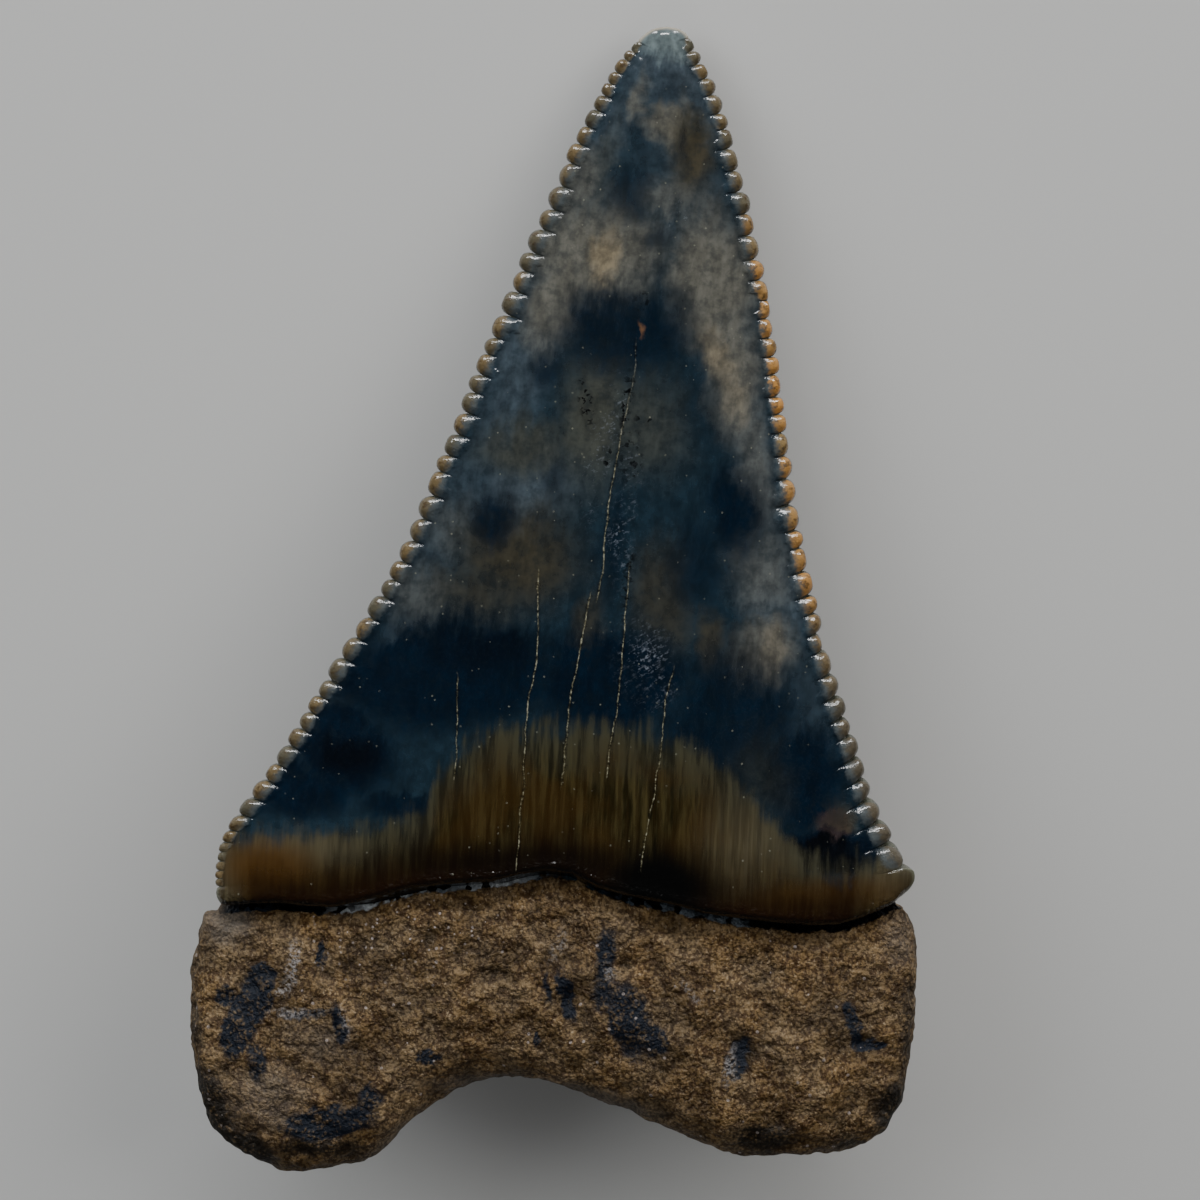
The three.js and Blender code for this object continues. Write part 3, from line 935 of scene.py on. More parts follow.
def stain(r, place, patches):
    """One mask for patches, each with its middle, half sizes, turn in degrees, softness, strength."""
    total = None
    for x, y, wide, tall, turn, soft, strength in patches:
        values = {
            "Place": place, "Middle": (x, y, 0.0), "Size": (2 * wide, 2 * tall, THROUGH),
            "Turn": (0.0, 0.0, math.radians(turn)), "Soft": soft, "Strength": strength,
        }
        mask = r.group(soft_patch, values)
        total = mask if total is None else r.math("MAXIMUM", total, mask)
    return total


def stir(r, place, lengths):
    """Moves the place about by noise, with bends of each length in mm as far as its reach."""
    for length, reach in lengths:
        shove = r.noise(place, 1.0 / length, 1.5, out="Color")
        centred = r.vector("SUBTRACT", shove, (0.5, 0.5, 0.5))
        place = r.vector("ADD", place, r.scale(centred, 2.0 * reach))
    return place


# %% [markdown]
# ## Pale specks
# Both the enamel and the root carry scattered pale specks. On the enamel they are dust and tiny
# chips; on the root they are painted glints of tiny crystals. A Voronoi texture gives one random
# point to each small cell. Only the nearest surroundings of a point are kept, and only in the few
# cells whose random colour passes a limit.

# %% Pale specks as a node group
def speck_group():
    inputs = [("Place", ARROW), ("Per mm", NUMBER), ("Size", NUMBER), ("Share", NUMBER)]
    tree, r, entry, leave = new_group("pale specks", inputs, [("Mask", NUMBER)])
    near = r.cells(entry["Place"], entry["Per mm"])
    colour = r.cells(entry["Place"], entry["Per mm"], out="Color")
    channel = r.add("ShaderNodeSeparateColor", {"Color": colour}, out="Red")
    dot = r.math("LESS_THAN", near, entry["Size"])
    kept = r.math("LESS_THAN", channel, entry["Share"])
    tree.links.new(r.times(dot, kept), leave["Mask"])
    return tree


pale_specks = speck_group()

# %% [markdown]
# ## The enamel's colours
# Enamel takes its colour from minerals in the ground: deep navy, grey-tan clouds and olive brown
# at the base. The blue-grey haze along the edges is painted sheen. Every colour is a layer with its
# own list of soft patches, mixed over the layers before it. The places are read off the real tooth
# in millimetres, so the render shows this tooth and not just one like it.

# %% Layers of the enamel's colour
NAVY = (0.0075, 0.018, 0.0275)
CLOUD_LAYERS = [
    # Painted sheen: this blue haze along the sloping edges and near the tip stands for reflected light.
    ("blue haze", (0.036, 0.05, 0.062), [
        (5.3, 52.3, 2.2, 2.6, 0, 0.6, 0.8), (3.2, 49.5, 1.0, 2.6, -28, 0.6, 0.6),
        (7.4, 50.3, 0.9, 2.6, 20, 0.6, 0.6), (5.5, 47.0, 2.6, 2.4, 0, 0.7, 0.35),
        (-1.4, 38.6, 1.5, 4.2, -22, 0.6, 0.75), (-1.4, 32.3, 2.3, 1.6, 15, 0.6, 0.9),
        (-5.0, 31.2, 1.2, 3.8, -26, 0.6, 0.5), (-7.2, 26.2, 0.9, 3.0, -32, 0.6, 0.25),
        (-11.0, 21.8, 1.0, 2.6, -32, 0.6, 0.4),
        (9.0, 36.0, 0.8, 7.5, 9, 0.7, 0.8), (10.3, 27.4, 1.5, 2.6, 10, 0.6, 0.8),
        (11.6, 23.5, 1.1, 3.6, 15, 0.6, 0.38), (10.6, 20.6, 2.2, 1.5, 0, 0.7, 0.35),
    ]),
    ("grey tan", (0.088, 0.086, 0.072), [
        (1.9, 43.3, 2.9, 2.4, 0, 0.6, 0.9), (0.3, 41.3, 1.3, 2.4, -24, 0.5, 0.9),
        (7.4, 42.1, 1.8, 3.1, 6, 0.6, 0.95), (8.4, 38.2, 1.2, 3.4, 6, 0.6, 0.85),
        (9.2, 34.0, 0.75, 3.6, 8, 0.7, 0.5), (1.2, 46.6, 1.0, 1.6, -20, 0.6, 0.6),
        (5.1, 49.3, 0.85, 1.0, 0, 0.6, 0.95), (3.9, 50.4, 0.3, 1.1, -5, 0.7, 0.7),
        (6.0, 50.0, 0.3, 0.9, 5, 0.7, 0.4), (5.4, 46.0, 1.5, 0.8, 0, 0.7, 0.5),
        (9.9, 24.9, 1.4, 1.4, 0, 0.6, 0.7), (9.6, 28.6, 1.3, 1.7, 0, 0.7, 0.45),
        (-4.6, 30.4, 1.2, 1.4, -20, 0.7, 0.2), (-6.2, 27.0, 1.6, 1.5, -30, 0.7, 0.35),
        (13.1, 16.9, 1.0, 1.0, 10, 0.4, 0.35),
    ]),
    ("olive brown", (0.036, 0.039, 0.033), [
        (1.9, 35.8, 1.5, 3.2, -8, 0.7, 0.95), (4.0, 35.2, 2.1, 2.4, 0, 0.7, 0.7),
        (-1.3, 34.4, 2.0, 1.2, 0, 0.7, 0.85), (2.6, 47.8, 0.5, 1.6, -15, 0.7, 0.45),
        (13.2, 16.9, 0.9, 0.95, 10, 0.4, 0.9),
    ]),
    ("earth brown", (0.034, 0.0295, 0.018), [
        (-1.6, 29.2, 2.6, 2.2, 0, 0.7, 0.8), (5.0, 27.2, 1.3, 2.4, 0, 0.7, 0.6),
        (7.2, 25.2, 0.7, 1.4, 0, 0.6, 0.7), (1.7, 25.5, 0.6, 1.8, -8, 0.7, 0.7),
        (-3.6, 27.4, 1.6, 1.4, 0, 0.7, 0.6), (8.4, 24.0, 1.2, 1.0, 0, 0.7, 0.4),
        (6.5, 48.0, 1.1, 1.8, 8, 0.6, 0.9), (13.4, 16.7, 0.6, 0.7, 10, 0.6, 0.5),
    ]),
    ("bright tan", (0.185, 0.152, 0.098), [
        (2.45, 42.9, 0.55, 1.2, -8, 0.7, 0.8), (7.7, 38.4, 0.55, 1.4, 18, 0.8, 0.5),
        (10.3, 24.9, 0.5, 0.9, 0, 0.8, 0.3), (8.4, 36.6, 0.5, 1.0, 18, 0.8, 0.3),
    ]),
    ("deep navy", (0.0009, 0.0056, 0.013), [
        (3.3, 39.7, 3.1, 2.0, 0, 0.45, 0.8), (-0.4, 38.1, 0.8, 0.9, 0, 0.7, 0.7),
        (6.5, 37.4, 1.2, 3.8, 18, 0.6, 0.2), (8.4, 31.1, 1.3, 2.1, 0, 0.6, 0.9),
        (6.8, 28.9, 1.3, 1.9, 0, 0.7, 0.65), (-2.7, 30.9, 1.0, 1.3, 0, 0.6, 0.85),
        (3.6, 46.1, 0.8, 1.1, 0, 0.6, 0.6), (4.6, 44.0, 0.6, 0.7, 0, 0.7, 0.6),
        (5.1, 51.0, 0.7, 0.8, 0, 0.7, 0.3), (4.0, 48.4, 0.6, 0.9, 0, 0.7, 0.2),
        (6.0, 48.2, 0.3, 0.7, 0, 0.7, 0.4), (0.0, 32.8, 0.5, 0.9, 0, 0.7, 0.4),
        (-5.2, 23.6, 5.6, 2.6, 4, 0.35, 1.0), (2.4, 23.4, 3.6, 2.4, 0, 0.4, 1.0),
        (8.3, 21.4, 3.4, 3.3, 0, 0.5, 0.85), (-9.9, 20.2, 3.0, 2.0, -30, 0.4, 1.0),
        (-11.7, 18.2, 2.4, 1.3, 0, 0.4, 1.0), (11.6, 18.6, 2.1, 2.6, 15, 0.5, 1.0),
        (12.8, 15.7, 2.2, 0.9, -8, 0.4, 1.0), (-6.6, 17.6, 2.4, 0.6, 0, 0.5, 0.85),
        (2.6, 29.6, 0.6, 2.4, -6, 0.7, 0.6), (-9.6, 24.6, 0.7, 1.8, -30, 0.7, 0.7),
        (-6.8, 29.2, 0.5, 2.2, -28, 0.7, 0.6),
    ]),
    ("near black", (0.0006, 0.0012, 0.0025), [
        (12.7, 15.35, 1.7, 0.7, -8, 0.5, 1.0), (-9.4, 19.7, 1.6, 1.0, -10, 0.7, 0.8),
        (-3.0, 25.0, 2.2, 0.9, 4, 0.8, 0.5),
    ]),
    ("khaki", (0.02, 0.021, 0.015), [(9.7, 18.9, 1.1, 1.6, 25, 0.8, 0.45)]),
    ("tip haze", (0.1, 0.128, 0.132), [(5.3, 53.6, 1.5, 0.95, 0, 0.5, 1.0)]),
    ("rust", (0.15, 0.075, 0.035), [
        (3.95, 39.9, 0.11, 0.3, 10, 0.9, 0.6), (13.15, 16.7, 0.75, 0.75, 10, 0.35, 0.12),
    ]),
]

# %% Paint the clouds
def grey(r, value):
    return r.add("ShaderNodeCombineColor", {"Red": value, "Green": value, "Blue": value})


def cloud_colours(r, place, back):
    """The clouds of stain, stirred so that their borders fray along the tooth's fibres."""
    stirred = stir(r, place, [(3.2, 0.8), (1.1, 0.42), (0.4, 0.2)])
    fibres = r.noise(r.stretch(place, (1.2, 0.42, 1.0), 0.12), 1.4, 3.0, 0.66)
    lifted = r.times(fibres, 1.5, -0.75)
    spread = r.times(back, 2.2, 1.0)
    drift = r.scale(r.vector("SUBTRACT", stirred, place), spread)
    along = r.add("ShaderNodeCombineXYZ", {"Y": lifted})
    moved = r.vector("ADD", r.vector("ADD", place, drift), along)
    mottle = r.noise(place, 1.7, 3.0, 0.65)
    colour = NAVY
    for _, tint, patches in CLOUD_LAYERS:
        mask = stain(r, moved, patches)
        broken = r.times(mask, r.span(mottle, 0.25, 0.6, 0.75, 1.1))
        colour = r.blend(r.math("MINIMUM", broken, 1.0), colour, tint)
    light = r.span(mottle, 0.3, 0.7, 0.8, 1.22)
    light = r.times(light, r.span(fibres, 0.3, 0.7, 0.8, 1.2))
    return r.blend(1.0, colour, grey(r, light), "MULTIPLY")


# %% [markdown]
# ## The base of the crown
# Above the root the enamel turns olive and brown, with fine streaks that run up the tooth. The
# border of this zone is a measured line, so it is a Float Curve from x to y. The streaks are
# noise squeezed across the tooth, and they shift the border too, which gives it its fringe.

# %% A line as a curve
def line_through(r, value, points, reach):
    """Reads a line of given points (from, to) at a value that varies over the surface."""
    low, high = reach
    goes = [to for _, to in points]
    bottom, top = min(goes), max(goes)
    share = r.add("ShaderNodeMapRange", {"Value": value, "From Min": low, "From Max": high})
    curve = r.tree.nodes.new("ShaderNodeFloatCurve")
    line = curve.mapping.curves[0]
    for start, to in points[1:-1]:
        line.points.new((start - low) / (high - low), (to - bottom) / (top - bottom))
    for end, (start, to) in ((0, points[0]), (-1, points[-1])):
        line.points[end].location = ((start - low) / (high - low), (to - bottom) / (top - bottom))
    curve.mapping.update()
    r.tree.links.new(share, curve.inputs["Value"])
    return r.times(curve.outputs[0], top - bottom, bottom)


# %% Paint the base
CROWN_X = (-17.0, 18.0)
BASE_TOP = [
    (-17.0, 16.4), (-12.8, 16.5), (-9.6, 16.7), (-6.4, 17.4), (-5.2, 19.4), (-2.5, 21.3), (3.1, 21.6),
    (5.9, 20.9), (7.8, 19.6), (9.6, 17.8), (11.2, 16.0), (12.4, 15.1), (14.2, 15.1), (15.6, 15.5),
    (18.0, 16.0),
]
OLIVE_STREAKS = ((0.008, 0.006, 0.0011), (0.045, 0.035, 0.012))
GREY_OLIVE_STREAKS = ((0.012, 0.0125, 0.008), (0.042, 0.042, 0.026))
FINE_BROWN, BROAD_BROWN = (0.013, 0.007, 0.001), (0.034, 0.017, 0.003)
BASE_GREY, BASE_ORANGE = (0.072, 0.06, 0.034), (0.08, 0.037, 0.006)
DUSK, BASE_BLACK = (0.008, 0.0028, 0.0004), (0.0008, 0.0007, 0.0006)
GREYER_BASE = [
    (-12.0, 15.7, 2.6, 0.9, 0, 0.7, 0.9), (8.8, 15.6, 1.8, 2.2, 0, 0.8, 0.8),
    (-15.4, 14.2, 0.8, 1.6, 0, 0.7, 0.9), (15.9, 14.2, 1.1, 0.9, 0, 0.6, 0.9),
]
ORANGE_BASE = [(-13.3, 14.7, 1.9, 1.1, 0, 0.7, 0.8), (12.8, 13.4, 2.8, 0.7, 5, 0.8, 0.55)]
BLACK_BASE = [(4.9, 14.0, 2.6, 1.7, -8, 0.6, 1.0), (0.0, 15.0, 6.5, 0.8, 0, 0.7, 0.6)]


def base_colours(r, place, x, y, above, slow, colour):
    """The olive zone: streaks, then broad tones, then the dusk next to the root."""
    streaks = r.noise(r.stretch(place, (1.0, 0.09, 0.3), 0.04), 2.6, 3.0, 0.65)
    fine = r.noise(r.stretch(place, (1.0, 0.05, 0.3), 0.04), 6.0, 2.0, 0.6)
    broad = r.noise(place, 0.35, 2.0)
    uneven = r.times(slow, 1.8, r.times(broad, 0.8))
    fringe = r.times(streaks, 1.6, r.math("SUBTRACT", uneven, 2.1))
    top = r.math("ADD", line_through(r, x, BASE_TOP, CROWN_X), fringe)
    sunk = r.math("SUBTRACT", top, y)
    zone = r.span(sunk, -0.4, 1.0)
    olive = r.blend(r.span(streaks, 0.36, 0.64), *OLIVE_STREAKS)
    olive = r.blend(r.span(fine, 0.42, 0.62, 0.0, 0.6), olive, FINE_BROWN)
    olive = r.blend(r.span(broad, 0.42, 0.62, 0.0, 0.5), olive, BROAD_BROWN)
    dim = r.blend(r.span(streaks, 0.36, 0.64), *GREY_OLIVE_STREAKS)
    olive = r.blend(r.span(sunk, 0.6, 3.4, 0.85, 0.0), olive, dim)
    greyer = r.times(stain(r, place, GREYER_BASE), r.span(fine, 0.35, 0.6, 1.0, 0.55))
    olive = r.blend(greyer, olive, BASE_GREY)
    olive = r.blend(stain(r, place, ORANGE_BASE), olive, BASE_ORANGE)
    dusk = r.span(r.math("ADD", above, r.times(fringe, 0.7)), 0.0, 3.3, 1.0, 0.0)
    dusk = r.times(dusk, r.span(r.math("ABSOLUTE", x), 13.4, 15.4, 1.0, 0.1))
    black = stain(r, place, BLACK_BASE)
    olive = r.blend(dusk, olive, DUSK)
    olive = r.blend(black, olive, BASE_BLACK)
    return r.blend(zone, colour, olive)


# %% [markdown]
# ## The beads' colours
# Each bead has an ochre outer end and a greyish shoulder. The crease beside it gets painted shade,
# and the thin rim of the edge gets a painted highlight. The masks that were stored with the shape
# say where these are, so the colours follow every bead exactly and no bead has to be painted by
# itself. A random tint per bead keeps them from looking alike.

# %% Paint the beads
LEFT_OCHRES = ((0.075, 0.07, 0.048), (0.14, 0.098, 0.045))
RIGHT_OCHRES = ((0.2, 0.14, 0.06), (0.42, 0.2, 0.05))
BEAD_BROWN, BEAD_DULL, BEAD_GREY = (0.05, 0.028, 0.01), (0.05, 0.05, 0.045), (0.068, 0.078, 0.08)
# Painted shade for the creases, painted highlights for the rim and the tip's rim.
CREASE_SHADE, RIM_HIGHLIGHT, TIP_RIM_HIGHLIGHT = (0.0025, 0.006, 0.01), (0.12, 0.125, 0.09), (0.42, 0.37, 0.28)


def bead_colours(r, place, x, y, depth, colour):
    """Ochre ends and greyish shoulders on the beads, painted shade in creases, painted rim highlight."""
    top, tint = r.mask("bead_top"), r.mask("bead_tint")
    mottle = r.noise(place, 3.6, 2.0, 0.6)
    right = r.times(r.span(x, 4.0, 8.0), r.span(y, 24.0, 30.0))
    right = r.times(right, r.span(y, 41.0, 47.0, 1.0, 0.0))
    ochre = r.blend(right, r.blend(tint, *LEFT_OCHRES), r.blend(tint, *RIGHT_OCHRES))
    ochre = r.blend(r.span(mottle, 0.5, 0.66, 0.0, 0.7), ochre, BEAD_BROWN)
    uneven = r.times(mottle, 0.5, r.math("SUBTRACT", depth, 0.25))
    outer = r.span(uneven, 0.35, 0.75, 1.0, 0.0)
    dull = r.times(r.span(x, 4.0, 8.0), r.span(y, 20.0, 27.0, 0.6, 0.0))
    ochre = r.blend(dull, ochre, BEAD_DULL)
    bead = r.blend(outer, BEAD_GREY, ochre)
    reach = r.times(top, -0.45, uneven)
    raised = r.times(r.span(top, 0.08, 0.5), r.span(reach, 0.22, 0.72, 1.0, 0.0))
    # Painted shade in the creases between the beads.
    colour = r.blend(r.times(r.mask("crease"), 0.85), colour, CREASE_SHADE)
    colour = r.blend(raised, colour, bead)
    # Painted highlight on the thin rim, brighter round the tip.
    rim = r.times(r.mask("rim"), r.span(top, 0.1, 0.5, 0.75, 0.0))
    return r.blend(rim, colour, r.blend(r.span(y, 52.0, 53.2), RIM_HIGHLIGHT, TIP_RIM_HIGHLIGHT))


# %% [markdown]
# ## Cracks
# Six fine cracks run up the crown, filled with pale dust and dark along their sides. Each is a
# few measured points, read as a curve from y to x, and what lies close to that line is the
# crack. A slow noise bends the lines a little, and a fine one breaks up their filling.

# %% Paint the cracks
CRACKS = [
    [(3.9, 39.4), (3.7, 37.4), (3.2, 35.1), (3.0, 33.9), (2.5, 31.2), (2.4, 29.8), (2.0, 27.0)],
    [(1.75, 27.6), (1.6, 26.8), (1.15, 24.3), (0.65, 21.5), (0.4, 18.4)],
    [(-0.7, 28.7), (-0.7, 27.1), (-0.75, 24.7), (-1.15, 22.5), (-1.3, 20.8), (-1.4, 18.4),
     (-1.75, 14.5)],
    [(3.6, 29.0), (3.4, 27.1), (3.15, 24.1), (3.0, 22.3), (2.7, 20.8), (2.5, 18.8)],
    [(5.6, 24.1), (5.2, 22.2), (4.9, 19.8), (4.65, 18.0), (4.2, 15.8), (4.1, 14.6)],
    [(-4.5, 23.8), (-4.45, 22.5), (-4.5, 20.4), (-4.65, 18.7)],
]
CRACK_SIDES = (0.002, 0.002, 0.002)
CRACK_FILLINGS = ((0.075, 0.064, 0.028), (0.28, 0.27, 0.19))


def hairline(r, x, y, points, wobble):
    """How far the surface is from one crack, and whether it lies between the crack's two ends."""
    upward = sorted((py, px) for px, py in points)
    low, high = upward[0][0], upward[-1][0]
    middle = line_through(r, y, upward, (low, high))
    gap = r.math("ABSOLUTE", r.math("SUBTRACT", r.math("ADD", x, wobble), middle))
    begun, ended = r.span(y, low - 0.1, low + 0.5), r.span(y, high + 0.1, high - 0.5)
    return gap, r.times(begun, ended)


def crack_masks(r, x, y, slow, grit, front):
    """Where all the cracks are filled, and where their sides are dark."""
    wobble = r.times(slow, 0.34, -0.17)
    crack, dark = None, None
    for points in CRACKS:
        gap, inside = hairline(r, x, y, points, wobble)
        thin = r.times(r.span(gap, 0.01, 0.043, 1.0, 0.0), inside)
        wide = r.times(r.span(gap, 0.05, 0.16, 1.0, 0.0), inside)
        crack = thin if crack is None else r.math("MAXIMUM", crack, thin)
        dark = wide if dark is None else r.math("MAXIMUM", dark, wide)
    crack = r.times(crack, r.times(r.span(grit, 0.38, 0.56, 0.12, 1.0), front))
    dark = r.times(dark, r.times(r.span(grit, 0.34, 0.5, 0.75, 0.1), front))
    return crack, dark


def crack_colours(r, y, grit, crack, dark, colour):
    colour = r.blend(dark, colour, CRACK_SIDES)
    filling = r.blend(r.span(grit, 0.48, 0.66), *CRACK_FILLINGS)
    lower = r.span(y, 33.0, 37.5, 0.9, 0.3)
    return r.blend(r.times(crack, lower), colour, filling)


# %% [markdown]
# ## Scuffs, pits and dust
# The middle of the crown is scuffed and has small pits, and pale specks lie all over it. The
# enamel's curled lower edge gets painted shade, ragged like chips. Patches say where the wear is,
# and noise breaks each patch up into scratches or dots. Only the outer face has them: the inner
# one is a guess.

# %% Paint the wear
SCUFFS = [
    (3.1, 29.6, 0.5, 2.0, 0, 0.7, 0.8), (4.3, 24.2, 1.1, 1.6, 12, 0.7, 1.0),
    (2.0, 33.4, 0.5, 2.2, -8, 0.7, 0.6), (3.6, 32.6, 0.5, 1.6, 0, 0.7, 0.5),
    (2.9, 35.9, 0.4, 1.4, -8, 0.7, 0.5), (5.6, 45.0, 0.5, 0.7, 0, 0.7, 0.3),
]
PITTED = [
    (1.5, 36.4, 0.3, 1.1, 10, 0.7, 1.0), (3.4, 36.3, 0.22, 1.3, -8, 0.7, 1.0),
    (4.2, 35.6, 0.35, 0.3, 0, 0.7, 1.0), (2.6, 33.7, 0.3, 0.5, 0, 0.7, 1.0),
    (3.6, 33.8, 0.5, 1.2, 0, 0.8, 0.8), (3.5, 28.4, 0.25, 1.8, -6, 0.7, 0.8),
    (4.2, 41.0, 0.4, 0.5, 0, 0.8, 0.7),
]
SCUFF, PIT = (0.19, 0.215, 0.26), (0.0008, 0.001, 0.0015)
DUST, LIP_SHADE = (0.22, 0.22, 0.17), (0.0012, 0.0012, 0.0015)
DUST_SPECKS = {"Per mm": 2.3, "Size": 0.11, "Share": 0.36}


def scuff_mask(r, place, slow, grit, front):
    """Short scratches, all running one way, in the scuffed places."""
    scratch = r.noise(r.stretch(place, (0.6, 2.6, 1.0), -0.55), 2.6, 3.0, 0.8)
    chalk = r.times(grit, 0.55, r.times(scratch, 0.55))
    worn = r.times(r.span(slow, 0.4, 0.62, 0.15, 1.0), r.span(chalk, 0.55, 0.7))
    scuffed = r.times(stain(r, place, SCUFFS), worn)
    return r.times(scuffed, front)


def wear_and_shade_colours(r, place, above, lumpy, grit, front, scuffed, colour):
    colour = r.blend(r.times(scuffed, 0.62), colour, SCUFF)
    pits = r.times(stain(r, place, PITTED), r.span(lumpy, 0.54, 0.6))
    colour = r.blend(r.times(pits, front), colour, PIT)
    specks = r.group(pale_specks, {"Place": place, **DUST_SPECKS})
    specks = r.times(specks, r.span(grit, 0.4, 0.62, 0.08, 0.5))
    colour = r.blend(specks, colour, DUST)
    # Painted shade on the enamel's curled lower edge, ragged like chips.
    chipped_lip_shade = r.span(r.times(grit, 0.4, above), 0.3, 0.42, 1.0, 0.0)
    return r.blend(r.times(chipped_lip_shade, front), colour, LIP_SHADE)


# %% [markdown]
# ## The enamel
# Fossil enamel is smooth and glossy, with colour below the surface. The shader is a Principled
# BSDF with a low roughness and a little coat. Its colour is built up as it lies on the tooth:
# clouds first, then the streaked base, the beads, the cracks, and last the wear, the dust and the
# lower edge's painted shade on top.
# Scuffs and cracks are duller, and only beads and the chipped lower edge are bumpy.

# %% Put the enamel together
ENAMEL_IOR = 1.55
COAT, COAT_ROUGHNESS = 0.25, 0.08


def finish(material, colour, rough, height):
    """Links the values that vary over the surface to a material's shader, and hands that back."""
    r = Recipe(material.node_tree)
    shader = material.node_tree.nodes["Principled BSDF"]
    bump = r.add("ShaderNodeBump", {"Height": height, "Distance": MM, "Strength": 1.0}, out="Normal")
    for socket, value in (("Base Color", colour), ("Roughness", rough), ("Normal", bump)):
        material.node_tree.links.new(value, shader.inputs[socket])
    return shader


def enamel_finish():
    enamel.use_nodes = True
    r = Recipe(enamel.node_tree)
    place = r.group(tooth_axes, {})
    split = r.add("ShaderNodeSeparateXYZ", {"Vector": place})
    x, y, z = split.node.outputs
    back = r.span(z, -2.2, -1.2, 1.0, 0.0)
    depth, above = r.mask("edge_depth"), r.mask("above_border")
    colour = cloud_colours(r, place, back)
    slow = r.noise(place, 0.9, 3.0)
    colour = base_colours(r, place, x, y, above, slow, colour)
    colour = bead_colours(r, place, x, y, depth, colour)
    front = r.math("SUBTRACT", 1.0, back)
    grit = r.noise(place, 5.5, 3.0, 0.7)
    crack, dark = crack_masks(r, x, y, slow, grit, front)
    colour = crack_colours(r, y, grit, crack, dark, colour)
    scuffed = scuff_mask(r, place, slow, grit, front)
    lumpy = r.noise(place, 3.3, 2.0, 0.65)
    colour = wear_and_shade_colours(r, place, above, lumpy, grit, front, scuffed, colour)
    rough = r.span(grit, 0.3, 0.7, 0.14, 0.26)
    rough = r.times(r.math("MAXIMUM", scuffed, crack), 0.35, rough)
    beaded = r.span(r.mask("bead_top"), 0.05, 0.4, 0.003, 0.06)
    uneven = r.math("ADD", beaded, r.span(above, 0.2, 0.9, 0.14, 0.0))
    shader = finish(enamel, colour, rough, r.times(lumpy, uneven))
    shader.inputs["IOR"].default_value = ENAMEL_IOR
    shader.inputs["Coat Weight"].default_value = COAT
    shader.inputs["Coat Roughness"].default_value = COAT_ROUGHNESS


enamel_finish()
print("enamel nodes:", len(enamel.node_tree.nodes))

# %% [markdown]
# ## The root's finish
# The root is fossil bone: dull, granular and mottled from pale tan to near black. Its grain comes
# from Voronoi cells and noise at several scales. The same grain drives the colour, the roughness
# and the bump, so the dark spots are also the low ones.

# %% Paint the bone
BONE_TANS = ((0.185, 0.124, 0.06), (0.168, 0.103, 0.04))
BONE_DARKS = ((0.06, 0.036, 0.017), (0.046, 0.022, 0.006))
PALE_CRUMB, DARK_CRUMB, HOLLOW = (0.27, 0.2, 0.12), (0.009, 0.005, 0.0015), (0.009, 0.0055, 0.002)


def bone_grain(r, place):
    """A height from 0 to 1 for the granular surface."""
    stirred = stir(r, place, [(0.6, 0.12)])
    cells = r.cells(r.stretch(stirred, (1.0, 0.85, 1.0)), 5.2)
    coarse = r.noise(stirred, 1.9, 3.0, 0.68)
    fine = r.noise(place, 9.0, 2.0, 0.7)
    total = r.times(cells, -0.4, r.times(coarse, 0.8))
    return r.times(fine, 0.5, r.math("ADD", total, 0.02))


def bone_colours(r, place, grain, lumps):
    """Tan on the high grains, dark between them, with crumbs of both, and dark hollows."""
    drift = r.noise(place, 0.5, 3.0, 0.6)
    tan = r.blend(r.span(drift, 0.38, 0.62), *BONE_TANS)
    dark = r.blend(r.span(drift, 0.4, 0.6), *BONE_DARKS)
    colour = r.blend(r.span(grain, 0.34, 0.6), dark, tan)
    crumbs = r.noise(place, 6.5, 2.0, 0.7)
    colour = r.blend(r.span(crumbs, 0.57, 0.7, 0.0, 0.85), colour, PALE_CRUMB)
    colour = r.blend(r.span(crumbs, 0.3, 0.42, 0.75, 0.0), colour, DARK_CRUMB)
    colour = r.blend(r.span(lumps, -0.4, 0.05, 0.85, 0.0), colour, HOLLOW)
    shade = r.span(r.noise(place, 0.42, 3.0, 0.6), 0.36, 0.62, 0.62, 1.15)
    return r.blend(1.0, colour, grey(r, shade), "MULTIPLY")


# %% [markdown]
# ## Stains, and painted shade and sheen on the root's edges
# Blue-black mineral has soaked into the outer face in patches. The lobes' rounded lower edges and
# sides are painted nearly black as shade, a few places are ash grey, partly as painted sheen on
# the rounded edges, and some have pale scrape marks. They are lists of patches again, frayed by
# noise. The grain shows through them, so they look soaked in and not painted on.

